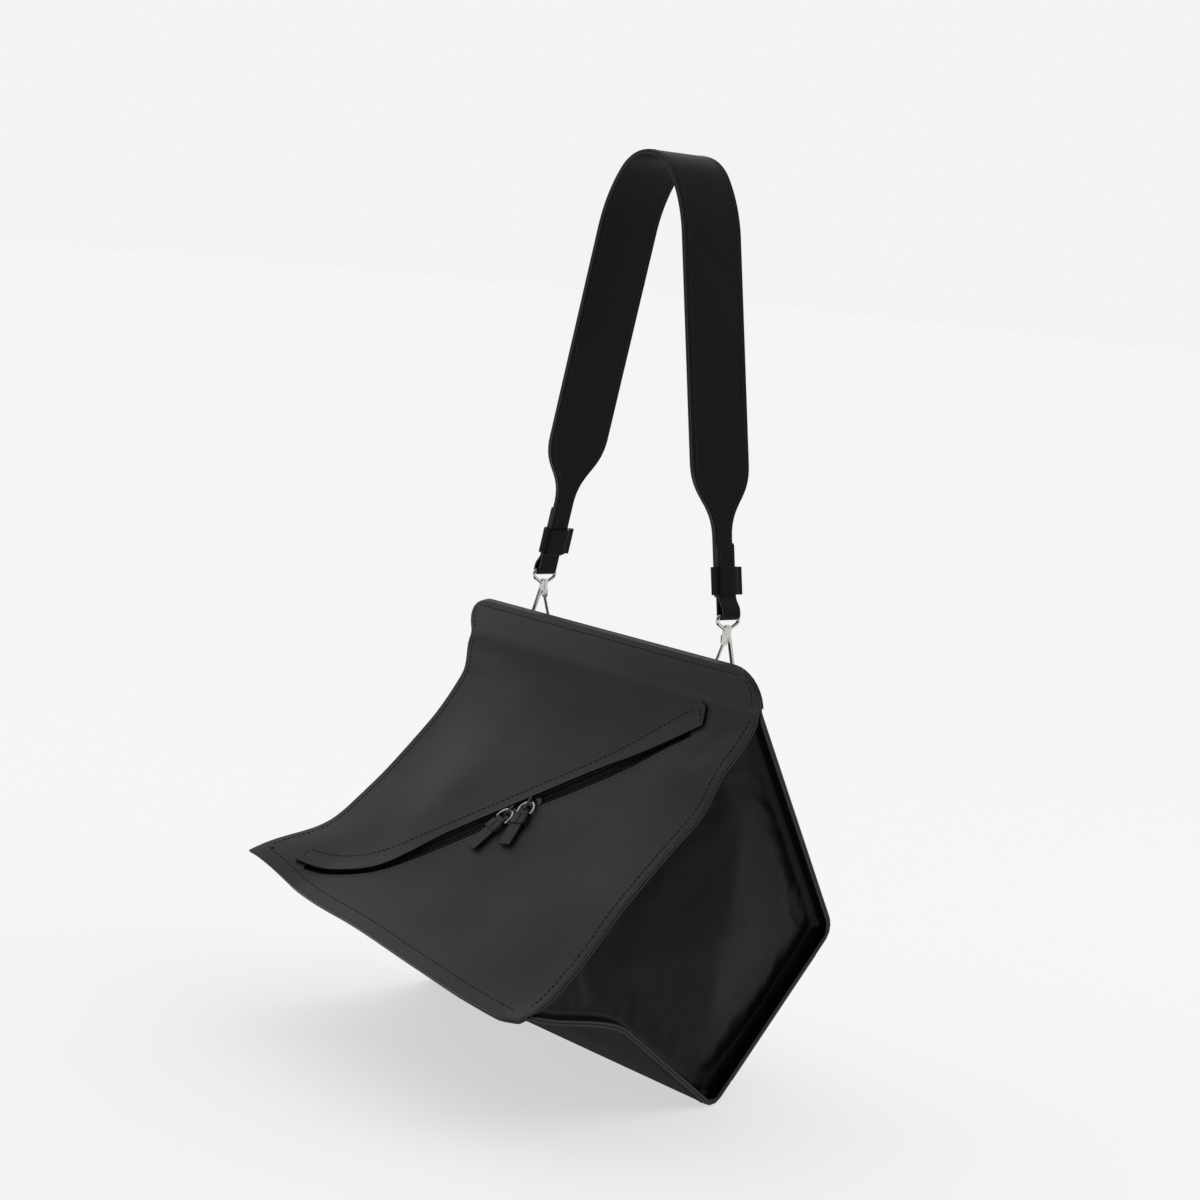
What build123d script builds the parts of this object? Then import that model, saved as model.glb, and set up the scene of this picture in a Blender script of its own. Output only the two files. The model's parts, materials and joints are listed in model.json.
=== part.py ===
from build123d import *
from math import asin, atan2, cos, degrees, radians, sin
import os

os.makedirs("parts", exist_ok=True)

# A leather shoulder bag: a wedge-shaped body with an S-shaped zip across its leaning front,
# hung by two swivel hooks from one wide strap.
#
# Frame, in millimetres: X runs along the bag, Y towards its back and Z up.  The origin is the
# middle of the strap's underside at its crown, where the bag hangs from a shoulder or a peg.

# ---- Driving dimensions -----------------------------------------------------------------
bag_length = 340.0
leather = 2.0  # the shell's panels
thin_leather = 1.6  # patch, flap, keepers and ring tabs
seam_gap = 0.15  # thread and glue between two faces that are sewn together

# The body's section, measured from the apex, the line where the front meets the back.
apex_y, apex_z = -18.0, -395.0
nose = (-190.0, -187.0)  # front lower edge
waist = (-103.0, -224.0)  # where the underside folds in
heel = (-6.0, -296.0)  # lowest edge
rump = (101.0, -171.0)  # back lower edge
collar_height = 32.0  # the sewn-together rim above the apex
collar_round = 22.0
collar_lean = 14.5  # degrees towards the front
seam_lip = 8.0  # the sewn lip along the nose

# The front panel hangs in a shallow hollow: an arc, a straight stretch and an arc.
hollow = 18.0
flat_from, flat_to = 80.0, 190.0  # the straight stretch, down the chord from the apex

gusset_recess = 12.0
gusset_rim = 2.0
corner_reach = 22.0  # how far the back and the underside wrap round onto the base
patch_margin = 7.0
stiffener_thick = 2.5

# The zip, on the front panel.  Its path is straight, with an arc at its lower left end.
zip_angle = 46.1  # degrees above the panel's horizontal
zip_middle = 138.0  # down the chord from the apex, at mid-length
zip_bend_at, zip_bend_radius = -92.0, 220.0
zip_from, zip_to = -176.0, 158.0
slot_half = 5.0
flap_from, flap_to = -184.0, 165.0
flap_top, flap_edge, flap_narrow = -17.0, 1.0, -6.2
narrow_reach = 66.0  # the flap is cut back this far each way from the sliders
tooth_inner, tooth_outer = 0.6, 3.0
tooth_low, tooth_high = -1.6, 0.6
tape_inner, tape_outer = 3.1, 9.5
sliders_meet = 13.0  # along the zip from its middle
slider_length, slider_width, slider_plate = 16.0, 8.4, 1.1

# Zip pulls
pull_wire = 0.9
pull_ring_half, pull_ring_drop = 7.1, 10.5
pull_height = 4.2  # of the ring's wire over the panel's inner face
pull_splay = 12.0  # degrees from straight down
pull_loop = 1.85
pull_tab_width, pull_tab_thick, pull_tab_length = 11.0, 2.4, 31.0
pull_band_width, pull_band_height, pull_band_wall = 14.0, 8.5, 0.7
pull_band_drop = 2.6

# Strap
strap_width, strap_layer = 58.0, 1.8
arm_angle = 11.5  # degrees from upright
eye_x, eye_z = 108.0, -333.5
shoulder_radius, shoulder_turn = 110.0, 25.0
tongue_width = 17.5
taper_low, taper_high = -278.0, -223.0
loop_leg, loop_join = 4.0, 14.0
return_length = 54.0
keeper_low, keeper_height, keeper_fin = 15.4, 21.0, 6.5

# Swivel hooks, measured down from the eye's bar
eye_wire, eye_half = 1.4, 10.65
boss_radius, boss_top, boss_bottom = 3.3, -8.2, -13.2
post_radius, post_play = 1.55, 0.05
hook_turn = 30.0  # degrees from the bag's cross direction
hook_wire = 1.7
gate_pivot = (-1.5, -20.5)
gate_wire, gate_length, gate_lean = 1.3, 20.9, 16.4
pin_radius, pin_play = 0.7, 0.06

# D-rings on the back of the bag
ring_wire, ring_half = 1.3, 10.5
ring_bar = (7.5, 4.0)
ring_crown = (18.0, 17.0)
ring_play = 0.08

# ---- Reference planes and curves --------------------------------------------------------
section = Plane(origin=(0, apex_y, apex_z), x_dir=(0, 1, 0), z_dir=(1, 0, 0))
front_angle = degrees(atan2(-nose[1], -nose[0]))
front_chord = (nose[0] ** 2 + nose[1] ** 2) ** 0.5
down = (-cos(radians(front_angle)), -sin(radians(front_angle)))
inward = (-down[1], down[0])
panel = Plane(
    origin=(0, apex_y, apex_z), x_dir=(1, 0, 0), z_dir=(0, -inward[0], -inward[1])
)


def arc_radius(run):
    """Radius of an arc that sinks by the hollow's depth over a run along the chord."""
    return (run**2 + hollow**2) / (2 * hollow)


upper_radius = arc_radius(flat_from)
lower_radius = arc_radius(front_chord - flat_to)


def on_front(along, depth):
    """A point of the section, so far down the front's chord and so deep inside it."""
    return (
        down[0] * along + inward[0] * depth,
        down[1] * along + inward[1] * depth,
    )


def upper_arc(out, share):
    turn = share * asin(flat_from / upper_radius)
    radius = upper_radius - out
    return on_front(
        flat_from - radius * sin(turn), hollow - upper_radius + radius * cos(turn)
    )


def lower_arc(out, share):
    turn = share * asin((front_chord - flat_to) / lower_radius)
    radius = lower_radius - out
    return on_front(
        flat_to + radius * sin(turn), hollow - lower_radius + radius * cos(turn)
    )


def front_curve(out):
    """Adds the front's curve, so far outside the panel's inner face, from apex to nose."""
    ThreePointArc(upper_arc(out, 1), upper_arc(out, 0.5), upper_arc(out, 0))
    Line(upper_arc(out, 0), lower_arc(out, 0))
    ThreePointArc(lower_arc(out, 0), lower_arc(out, 0.5), lower_arc(out, 1))


def front_band(low, high):
    """Adds the closed outline between two of the front's curves."""
    front_curve(low)
    front_curve(high)
    Line(upper_arc(low, 1), upper_arc(high, 1))
    Line(lower_arc(low, 1), lower_arc(high, 1))


def zip_point(along, across):
    """A point of the front's plane, along the zip from its middle and down across it."""
    angle = radians(zip_angle)
    if along >= zip_bend_at:
        return (
            along * cos(angle) + across * sin(angle),
            -zip_middle + along * sin(angle) - across * cos(angle),
        )
    centre_x = zip_bend_at * cos(angle) - zip_bend_radius * sin(angle)
    centre_y = -zip_middle + zip_bend_at * sin(angle) + zip_bend_radius * cos(angle)
    turned = angle - (zip_bend_at - along) / zip_bend_radius
    radius = zip_bend_radius + across
    return (centre_x + radius * sin(turned), centre_y - radius * cos(turned))


def zip_outline(start, end, upper, lower):
    """Adds the closed outline of a strip that follows the zip between two offsets."""
    for across in (upper, lower):
        bent = start < zip_bend_at
        if bent:
            middle = (start + min(end, zip_bend_at)) / 2
            ThreePointArc(
                zip_point(start, across),
                zip_point(middle, across),
                zip_point(min(end, zip_bend_at), across),
            )
        if end > zip_bend_at:
            Line(zip_point(max(start, zip_bend_at), across), zip_point(end, across))
    Line(zip_point(start, upper), zip_point(start, lower))
    Line(zip_point(end, upper), zip_point(end, lower))


def zip_strip(start, end, upper, lower, low, high):
    """A strip along the zip, in the layer between two heights over the panel's inner face."""
    with BuildPart() as strip:
        with BuildSketch(section.offset(-bag_length / 2)):
            with BuildLine():
                front_band(low, high)
            make_face()
        extrude(amount=bag_length)
        with BuildSketch(panel):
            with BuildLine():
                zip_outline(start, end, upper, lower)
            make_face()
        extrude(amount=60, both=True, mode=Mode.INTERSECT)
    return strip.part


def toward(start, end, distance):
    """The point so far from start towards end, in the section."""
    line = Vector(*end) - Vector(*start)
    point = Vector(*start) + line.normalized() * distance
    return (point.X, point.Y)


def collar_point(out, height):
    """A point of the collar, so far behind its mid line and so high above the apex."""
    lean = radians(collar_lean)
    return (
        out * cos(lean) - height * sin(lean),
        out * sin(lean) + height * cos(lean),
    )


# ---- The bag's shell --------------------------------------------------------------------
def collar_corners(layer):
    """The two upper corners of a collar layer, as edges through its thickness."""
    foot, out = collar_point(0, 0), collar_point(1, 0)
    through = Axis((0, 0, 0), (0, out[0] - foot[0], out[1] - foot[1]))
    return layer.edges().filter_by(through).sort_by(Axis.Z)[-2:]


with BuildPart() as front_panel:
    with BuildSketch(section.offset(-bag_length / 2)):
        with BuildLine():
            front_band(0, leather)
        make_face()
        with BuildLine():
            Polyline(
                collar_point(-seam_gap, 0),
                collar_point(-seam_gap, collar_height),
                collar_point(-leather, collar_height),
                collar_point(-leather, -0.8),
                upper_arc(leather, 0.97),
                upper_arc(0, 1),
                close=True,
            )
        make_face()
        with BuildLine():
            Polyline(
                lower_arc(0, 1),
                toward(lower_arc(0, 0.999), lower_arc(0, 1), seam_lip),
                toward(lower_arc(leather, 0.999), lower_arc(leather, 1), seam_lip),
                lower_arc(leather, 1),
                close=True,
            )
        make_face()
    extrude(amount=bag_length)
    add(zip_strip(zip_from, zip_to, -slot_half, slot_half, -1, leather + 1), mode=Mode.SUBTRACT)
    fillet(collar_corners(front_panel), collar_round)
front_panel.part.label = "front_panel"
export_step(front_panel.part, "parts/front_panel.step")

with BuildPart() as back_panel:
    with BuildSketch(section.offset(-bag_length / 2)):
        with BuildLine():
            FilletPolyline(collar_point(0, 0), rump, toward(rump, heel, corner_reach), radius=14)
            offset(amount=leather, side=Side.LEFT)
        make_face()
        with BuildLine():
            Polyline(
                collar_point(0, 0),
                collar_point(0, collar_height),
                collar_point(leather, collar_height),
                collar_point(leather, -0.6),
                close=True,
            )
        make_face()
    extrude(amount=bag_length)
    fillet(collar_corners(back_panel), collar_round)
back_panel.part.label = "back_panel"
export_step(back_panel.part, "parts/back_panel.step")

with BuildPart() as top_band:
    with BuildSketch(section.offset(-bag_length / 2)):
        with BuildLine():
            Polyline(
                collar_point(leather + seam_gap, 3),
                collar_point(leather + seam_gap, collar_height),
                collar_point(leather + seam_gap + thin_leather, collar_height),
                collar_point(leather + seam_gap + thin_leather, 3),
                close=True,
            )
        make_face()
    extrude(amount=bag_length)
    fillet(collar_corners(top_band), collar_round)
top_band.part.label = "top_band"
export_step(top_band.part, "parts/top_band.step")

with BuildPart() as base_panel:
    with BuildSketch(section.offset(-bag_length / 2)):
        with BuildLine():
            Line(
                toward(rump, heel, corner_reach + seam_gap),
                toward(heel, rump, corner_reach + seam_gap),
            )
            offset(amount=leather, side=Side.LEFT)
        make_face()
    extrude(amount=bag_length)
base_panel.part.label = "base_panel"
export_step(base_panel.part, "parts/base_panel.step")

with BuildPart() as underside_panel:
    with BuildSketch(section.offset(-bag_length / 2)):
        with BuildLine():
            FilletPolyline(
                toward(lower_arc(-seam_gap, 0.999), lower_arc(-seam_gap, 1), seam_lip),
                lower_arc(-seam_gap, 1),
                waist,
                heel,
                toward(heel, rump, corner_reach),
                radius=[1.5, 60, 10],
            )
            offset(amount=leather, side=Side.RIGHT)
        make_face()
    extrude(amount=bag_length)
underside_panel.part.label = "underside_panel"
export_step(underside_panel.part, "parts/underside_panel.step")

base_middle = ((rump[0] + heel[0]) / 2, (rump[1] + heel[1]) / 2)
base_out = ((rump[1] - heel[1]), (heel[0] - rump[0]))
base_run = (base_out[0] ** 2 + base_out[1] ** 2) ** 0.5
base_out = (base_out[0] / base_run, base_out[1] / base_run)
base_plane = Plane(
    origin=(0, apex_y + base_middle[0], apex_z + base_middle[1]),
    x_dir=(1, 0, 0),
    z_dir=(0, base_out[0], base_out[1]),
)

with BuildPart() as base_patch:
    with BuildSketch(base_plane.offset(leather + seam_gap)):
        RectangleRounded(
            bag_length - 2 * patch_margin, base_run - 2 * corner_reach - 2 * patch_margin, 8
        )
    extrude(amount=thin_leather)
base_patch.part.label = "base_patch"
export_step(base_patch.part, "parts/base_patch.step")

with BuildPart() as base_stiffener:
    with BuildSketch(base_plane.offset(-seam_gap)):
        RectangleRounded(
            bag_length - 2 * gusset_recess - 2 * gusset_rim - 4, base_run - 2 * corner_reach, 6
        )
    extrude(amount=-stiffener_thick)
base_stiffener.part.label = "base_stiffener"
export_step(base_stiffener.part, "parts/base_stiffener.step")


def body_outline():
    """Adds the closed inner outline of the bag's section."""
    front_curve(0)
    FilletPolyline(lower_arc(0, 1), waist, heel, rump, upper_arc(0, 1), radius=[60, 10, 14])


with BuildPart() as gusset_right:
    with BuildSketch(section.offset(bag_length / 2)):
        with BuildLine():
            body_outline()
        make_face()
        offset(amount=-seam_gap, kind=Kind.INTERSECTION)
    extrude(amount=-gusset_recess - gusset_rim)
    with BuildSketch(section.offset(bag_length / 2)):
        with BuildLine():
            body_outline()
        make_face()
        offset(amount=-seam_gap - gusset_rim, kind=Kind.INTERSECTION)
    extrude(amount=-gusset_recess, mode=Mode.SUBTRACT)
gusset_right.part.label = "gusset_right"
export_step(gusset_right.part, "parts/gusset_right.step")

with BuildPart() as gusset_left:
    mirror(gusset_right.part, about=Plane.YZ)
gusset_left.part.label = "gusset_left"
export_step(gusset_left.part, "parts/gusset_left.step")

# ---- The zip ----------------------------------------------------------------------------
with BuildPart() as zip_flap:
    flap_low = leather + seam_gap
    add(zip_strip(flap_from, flap_to, flap_top, flap_narrow, flap_low, flap_low + thin_leather))
    for start, end in (
        (flap_from, sliders_meet - narrow_reach),
        (sliders_meet + narrow_reach, flap_to),
    ):
        add(zip_strip(start, end, flap_narrow - 1, flap_edge, flap_low, flap_low + thin_leather))
zip_flap.part.label = "zip_flap"
export_step(zip_flap.part, "parts/zip_flap.step")

with BuildPart() as zip_tape_upper:
    add(zip_strip(zip_from - 5, zip_to + 5, -tape_outer, -tape_inner, -0.9, -0.2))
zip_tape_upper.part.label = "zip_tape_upper"
export_step(zip_tape_upper.part, "parts/zip_tape_upper.step")

with BuildPart() as zip_tape_lower:
    add(zip_strip(zip_from - 5, zip_to + 5, tape_inner, tape_outer, -0.9, -0.2))
zip_tape_lower.part.label = "zip_tape_lower"
export_step(zip_tape_lower.part, "parts/zip_tape_lower.step")

with BuildPart() as zip_teeth_upper:
    add(zip_strip(zip_from + 4, zip_to - 4, -tooth_outer, -tooth_inner, tooth_low, tooth_high))
zip_teeth_upper.part.label = "zip_teeth_upper"
export_step(zip_teeth_upper.part, "parts/zip_teeth_upper.step")

with BuildPart() as zip_teeth_lower:
    add(zip_strip(zip_from + 4, zip_to - 4, tooth_inner, tooth_outer, tooth_low, tooth_high))
zip_teeth_lower.part.label = "zip_teeth_lower"
export_step(zip_teeth_lower.part, "parts/zip_teeth_lower.step")

with BuildPart() as zip_end_stops:
    for start in (zip_from + 1, zip_to - 3.4):
        add(zip_strip(start, start + 2.4, -tooth_outer, tooth_outer, tooth_low, tooth_high + 0.3))
zip_end_stops.part.label = "zip_end_stops"
export_step(zip_end_stops.part, "parts/zip_end_stops.step")

zip_along = panel.x_dir * cos(radians(zip_angle)) + panel.y_dir * sin(radians(zip_angle))


def slider_middle(side):
    """A slider's middle, on the panel's inner face."""
    across_panel = zip_point(sliders_meet + side * (slider_length / 2 + 0.2), 0)
    return panel.from_local_coords((across_panel[0], across_panel[1], -hollow))


def pull_plane(side):
    """The plane a pull lies in: its wire at the slider's bail, its y away from the tab."""
    splay = radians(side * pull_splay)
    return Plane(
        origin=slider_middle(side) + panel.z_dir * pull_height,
        x_dir=panel.x_dir * cos(splay) + panel.y_dir * sin(splay),
        z_dir=panel.z_dir,
    )


def slider_part(side):
    middle = slider_middle(side)
    face = Plane(origin=middle, x_dir=zip_along, z_dir=panel.z_dir)
    pull = pull_plane(side)
    bail = Plane(origin=middle, x_dir=pull.y_dir, z_dir=pull.x_dir)
    with BuildPart() as slider:
        for level in (tooth_high + 0.15, tooth_low - 0.15 - slider_plate):
            with BuildSketch(face.offset(level)):
                RectangleRounded(slider_length, slider_width, 2.2)
            extrude(amount=slider_plate)
        with BuildSketch(face.offset(tooth_low - 0.2)):
            with BuildLine():
                Polyline((-2, -0.45), (-2, 0.45), (3, 0.45), (3, -0.45), close=True)
            make_face()
        extrude(amount=tooth_high - tooth_low + 0.4)
        with BuildSketch(bail):
            with BuildLine():
                FilletPolyline((-4.7, 1.6), (-4.7, 6.5), (4.7, 6.5), (4.7, 1.6), radius=2.5)
                Line((4.7, 1.6), (3.6, 1.6))
                FilletPolyline((3.6, 1.6), (3.6, 5.6), (-3.6, 5.6), (-3.6, 1.6), radius=1.5)
                Line((-3.6, 1.6), (-4.7, 1.6))
            make_face()
        extrude(amount=1.0, both=True)
    return slider.part


with BuildPart() as zip_slider_left:
    add(slider_part(-1))
zip_slider_left.part.label = "zip_slider_left"
export_step(zip_slider_left.part, "parts/zip_slider_left.step")

with BuildPart() as zip_slider_right:
    add(slider_part(1))
zip_slider_right.part.label = "zip_slider_right"
export_step(zip_slider_right.part, "parts/zip_slider_right.step")


def pull_ring_part(side):
    plane = pull_plane(side)
    with BuildPart() as ring:
        with BuildLine(plane) as wire:
            ThreePointArc((-pull_ring_half, -pull_ring_half), (0, 0), (pull_ring_half, -pull_ring_half))
            FilletPolyline(
                (pull_ring_half, -pull_ring_half),
                (pull_ring_half, -pull_ring_drop),
                (-pull_ring_half, -pull_ring_drop),
                (-pull_ring_half, -pull_ring_half),
                radius=1.5,
            )
        with BuildSketch(Plane(origin=wire.line @ 0, z_dir=wire.line % 0)):
            Circle(pull_wire)
        sweep(path=wire.line)
    return ring.part


def pull_tab_part(side):
    plane = pull_plane(side)
    upright = Plane(origin=plane.origin, x_dir=-plane.y_dir, z_dir=plane.x_dir)
    with BuildPart() as tab:
        with BuildSketch(upright.offset(-pull_tab_width / 2)):
            with Locations((pull_ring_drop, 0)):
                Circle(pull_loop)
            with BuildLine():
                half = pull_tab_thick / 2
                Polyline(
                    (pull_ring_drop, -half),
                    (pull_ring_drop, half),
                    (pull_ring_drop + pull_tab_length, half),
                    (pull_ring_drop + pull_tab_length, -half),
                    close=True,
                )
            make_face()
            with Locations((pull_ring_drop, 0)):
                Circle(pull_wire + 0.08, mode=Mode.SUBTRACT)
        extrude(amount=pull_tab_width)
    return tab.part


def pull_band_part(side):
    plane = pull_plane(side)
    across = Plane(
        origin=plane.origin - plane.y_dir * (pull_ring_drop + pull_band_drop),
        x_dir=plane.x_dir,
        z_dir=-plane.y_dir,
    )
    inner_width = pull_tab_width + 0.2
    inner_thick = pull_tab_thick + 0.2
    with BuildPart() as band:
        with BuildSketch(across):
            Rectangle(pull_band_width, inner_thick + 2 * pull_band_wall)
            Rectangle(inner_width, inner_thick, mode=Mode.SUBTRACT)
        extrude(amount=pull_band_height)
    return band.part


with BuildPart() as pull_ring_left:
    add(pull_ring_part(-1))
pull_ring_left.part.label = "pull_ring_left"
export_step(pull_ring_left.part, "parts/pull_ring_left.step")

with BuildPart() as pull_ring_right:
    add(pull_ring_part(1))
pull_ring_right.part.label = "pull_ring_right"
export_step(pull_ring_right.part, "parts/pull_ring_right.step")

with BuildPart() as pull_tab_left:
    add(pull_tab_part(-1))
pull_tab_left.part.label = "pull_tab_left"
export_step(pull_tab_left.part, "parts/pull_tab_left.step")

with BuildPart() as pull_tab_right:
    add(pull_tab_part(1))
pull_tab_right.part.label = "pull_tab_right"
export_step(pull_tab_right.part, "parts/pull_tab_right.step")

with BuildPart() as pull_band_left:
    add(pull_band_part(-1))
pull_band_left.part.label = "pull_band_left"
export_step(pull_band_left.part, "parts/pull_band_left.step")

with BuildPart() as pull_band_right:
    add(pull_band_part(1))
pull_band_right.part.label = "pull_band_right"
export_step(pull_band_right.part, "parts/pull_band_right.step")

# ---- The strap --------------------------------------------------------------------------
# Across an arm, measured outwards from the eye's bar: the loop round the bar, then the layers.
loop_outer = 2.0 + strap_layer
lining_face = -loop_outer - seam_gap - strap_layer
arm_sin, arm_cos = sin(radians(arm_angle)), cos(radians(arm_angle))


def arm_point(out, up):
    """A point beside the right arm, outwards and up along it from the eye's bar."""
    return (
        eye_x + out * arm_cos - up * arm_sin,
        eye_z + out * arm_sin + up * arm_cos,
    )


crown_turn = 90 - arm_angle - shoulder_turn
crown_sin, crown_cos = sin(radians(crown_turn)), cos(radians(crown_turn))
arm_foot = arm_point(lining_face, 0)
shoulder_reach = (arm_cos - crown_sin) * arm_cos - (crown_cos - arm_sin) * arm_sin
crown_radius = (
    arm_foot[0] * arm_cos + arm_foot[1] * arm_sin - shoulder_radius * shoulder_reach
) / (crown_sin * arm_cos - (1 - crown_cos) * arm_sin)


def strap_face(height, foot):
    """Adds the right half of a strap layer's underside, from the crown down to the foot."""
    crown = JernArc((0, height), (1, 0), crown_radius + height, -crown_turn)
    shoulder = JernArc(crown @ 1, crown % 1, shoulder_radius + height, -shoulder_turn)
    Line(shoulder @ 1, foot)


def strap_outline():
    """Adds the strap's outline seen along X, for the right arm."""
    top = crown_radius
    half, tongue = strap_width / 2, tongue_width / 2
    lean = (taper_high - taper_low) * 0.5
    for side in (1, -1):
        Line((side * half, top), (side * half, taper_high))
        Bezier(
            (side * half, taper_high),
            (side * half, taper_high - lean),
            (side * tongue, taper_low + lean),
            (side * tongue, taper_low),
        )
        Line((side * tongue, taper_low), (side * tongue, eye_z - 2 * loop_outer))
    Line((-half, top), (half, top))
    Line((-tongue, eye_z - 2 * loop_outer), (tongue, eye_z - 2 * loop_outer))


with BuildPart() as strap_outer:
    with BuildSketch(Plane.XZ.offset(-strap_width / 2)):
        with BuildLine():
            main_face = strap_layer + seam_gap
            strap_face(main_face, arm_point(-loop_outer, 0))
            JernArc(arm_point(-loop_outer, 0), (arm_sin, -arm_cos), loop_outer, 180)
            Polyline(
                arm_point(loop_outer, 0),
                arm_point(loop_outer, loop_leg),
                arm_point(-seam_gap / 3, loop_join),
                arm_point(-seam_gap / 3, return_length),
            )
            offset(amount=strap_layer, side=Side.LEFT)
        make_face()
    extrude(amount=strap_width)
    with BuildSketch(Plane.YZ):
        with BuildLine():
            strap_outline()
        make_face()
    extrude(amount=eye_x + 40, mode=Mode.INTERSECT)
    mirror(about=Plane.YZ)
strap_outer.part.label = "strap_outer"
export_step(strap_outer.part, "parts/strap_outer.step")

with BuildPart() as strap_lining:
    with BuildSketch(Plane.XZ.offset(-strap_width / 2)):
        with BuildLine():
            strap_face(0, arm_point(lining_face, loop_join))
            offset(amount=strap_layer, side=Side.LEFT)
        make_face()
    extrude(amount=strap_width)
    with BuildSketch(Plane.YZ):
        with BuildLine():
            strap_outline()
        make_face()
    extrude(amount=eye_x + 40, mode=Mode.INTERSECT)
    mirror(about=Plane.YZ)
strap_lining.part.label = "strap_lining"
export_step(strap_lining.part, "parts/strap_lining.step")

with BuildPart() as strap_keeper_right:
    keeper_foot = arm_point(lining_face / 2, keeper_low)
    with BuildSketch(
        Plane(
            origin=(keeper_foot[0], 0, keeper_foot[1]),
            x_dir=(arm_cos, 0, arm_sin),
            z_dir=(-arm_sin, 0, arm_cos),
        )
    ):
        inner_depth, inner_width = -lining_face + 0.3, tongue_width + 0.4
        Rectangle(inner_depth + 2 * thin_leather, inner_width + 2 * thin_leather)
        with Locations((0, inner_width / 2 + thin_leather + keeper_fin / 2 - 0.1)):
            Rectangle(2 * thin_leather, keeper_fin + 0.2)
        Rectangle(inner_depth, inner_width, mode=Mode.SUBTRACT)
    extrude(amount=keeper_height)
strap_keeper_right.part.label = "strap_keeper_right"
export_step(strap_keeper_right.part, "parts/strap_keeper_right.step")

with BuildPart() as strap_keeper_left:
    mirror(strap_keeper_right.part, about=Plane.YZ)
strap_keeper_left.part.label = "strap_keeper_left"
export_step(strap_keeper_left.part, "parts/strap_keeper_left.step")

# ---- The swivel hooks -------------------------------------------------------------------
with BuildPart() as swivel_eye_right:
    eye_plane = Plane(origin=(eye_x, 0, eye_z), x_dir=(0, 1, 0), z_dir=(1, 0, 0))
    with BuildLine(eye_plane) as eye_path:
        FilletPolyline(
            (-2, -10.7),
            (-eye_half, -5.6),
            (-eye_half, 0),
            (eye_half, 0),
            (eye_half, -5.6),
            (2, -10.7),
            radius=3.4,
        )
    with BuildSketch(Plane(origin=eye_path.line @ 0, z_dir=eye_path.line % 0)):
        Circle(eye_wire)
    sweep(path=eye_path.line)
    with BuildSketch(Plane(origin=(eye_x, 0, eye_z + boss_bottom))):
        Circle(boss_radius)
    extrude(amount=boss_top - boss_bottom)
    with BuildSketch(Plane(origin=(eye_x, 0, eye_z + boss_bottom))):
        Circle(post_radius + post_play)
    extrude(amount=boss_top - boss_bottom, mode=Mode.SUBTRACT)
swivel_eye_right.part.label = "swivel_eye_right"
export_step(swivel_eye_right.part, "parts/swivel_eye_right.step")

with BuildPart() as swivel_eye_left:
    mirror(swivel_eye_right.part, about=Plane.YZ)
swivel_eye_left.part.label = "swivel_eye_left"
export_step(swivel_eye_left.part, "parts/swivel_eye_left.step")

collar_radius, collar_foot = 3.3, -15.9
post_head_radius, post_head_height = 2.3, 1.0
bow_radius, bow_turn = 7.5, 190.0
leg_top, leg_foot = (1.9, -15.0), (7.6, -39.4)
cheek_half, cheek_in, cheek_out = 2.1, 1.4, 2.6
gate_head, gate_head_half = 1.9, 1.3


def hook_plane(side):
    """The upright plane of a hook: x towards its fixed leg, origin on the eye's bar."""
    turn = radians(hook_turn if side > 0 else hook_turn + 180)
    return Plane(
        origin=(side * eye_x, 0, eye_z),
        x_dir=(sin(turn), cos(turn), 0),
        z_dir=(cos(turn), -sin(turn), 0),
    )


def hook_body_part(side):
    plane = hook_plane(side)
    axis = Plane(origin=plane.origin)
    with BuildPart() as hook:
        with BuildSketch(axis.offset(collar_foot)):
            Circle(collar_radius)
        extrude(amount=boss_bottom - 0.1 - collar_foot)
        with BuildSketch(axis.offset(boss_bottom - 0.2)):
            Circle(post_radius)
        extrude(amount=boss_top - boss_bottom + 0.4)
        with BuildSketch(axis.offset(boss_top + 0.1)):
            Circle(post_head_radius)
        extrude(amount=post_head_height)
        with BuildLine(plane) as path:
            Line(leg_top, leg_foot)
            JernArc(leg_foot, (leg_foot[0] - leg_top[0], leg_foot[1] - leg_top[1]), bow_radius, -bow_turn)
        with BuildSketch(Plane(origin=path.line @ 0, z_dir=path.line % 0)):
            Circle(hook_wire)
        sweep(path=path.line)
        for start, depth in ((cheek_in, cheek_out - cheek_in), (-cheek_in, cheek_in - cheek_out)):
            with BuildSketch(plane.offset(start)):
                with Locations(gate_pivot):
                    Circle(cheek_half)
                with Locations((gate_pivot[0], (gate_pivot[1] + collar_foot) / 2 + 0.4)):
                    Rectangle(2 * cheek_half, collar_foot - gate_pivot[1] + 0.8)
                with Locations(gate_pivot):
                    Circle(pin_radius + 0.02, mode=Mode.SUBTRACT)
            extrude(amount=depth)
    return hook.part


def gate_part(side):
    plane = hook_plane(side)
    lean = radians(gate_lean)
    along = plane.x_dir * -sin(lean) - plane.y_dir * cos(lean)
    with BuildPart() as gate:
        with BuildSketch(plane.offset(-gate_head_half)):
            with Locations(gate_pivot):
                Circle(gate_head)
        extrude(amount=2 * gate_head_half)
        with BuildSketch(Plane(origin=plane.from_local_coords(gate_pivot), z_dir=along)):
            Circle(gate_wire)
        extrude(amount=gate_length)
        with BuildSketch(plane.offset(-gate_head_half - 0.1)):
            with Locations(gate_pivot):
                Circle(pin_radius + pin_play)
        extrude(amount=2 * gate_head_half + 0.2, mode=Mode.SUBTRACT)
    return gate.part


def gate_pin_part(side):
    with BuildPart() as pin:
        with BuildSketch(hook_plane(side).offset(-cheek_out)):
            with Locations(gate_pivot):
                Circle(pin_radius)
        extrude(amount=2 * cheek_out)
    return pin.part


with BuildPart() as hook_body_left:
    add(hook_body_part(-1))
hook_body_left.part.label = "hook_body_left"
export_step(hook_body_left.part, "parts/hook_body_left.step")

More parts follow.
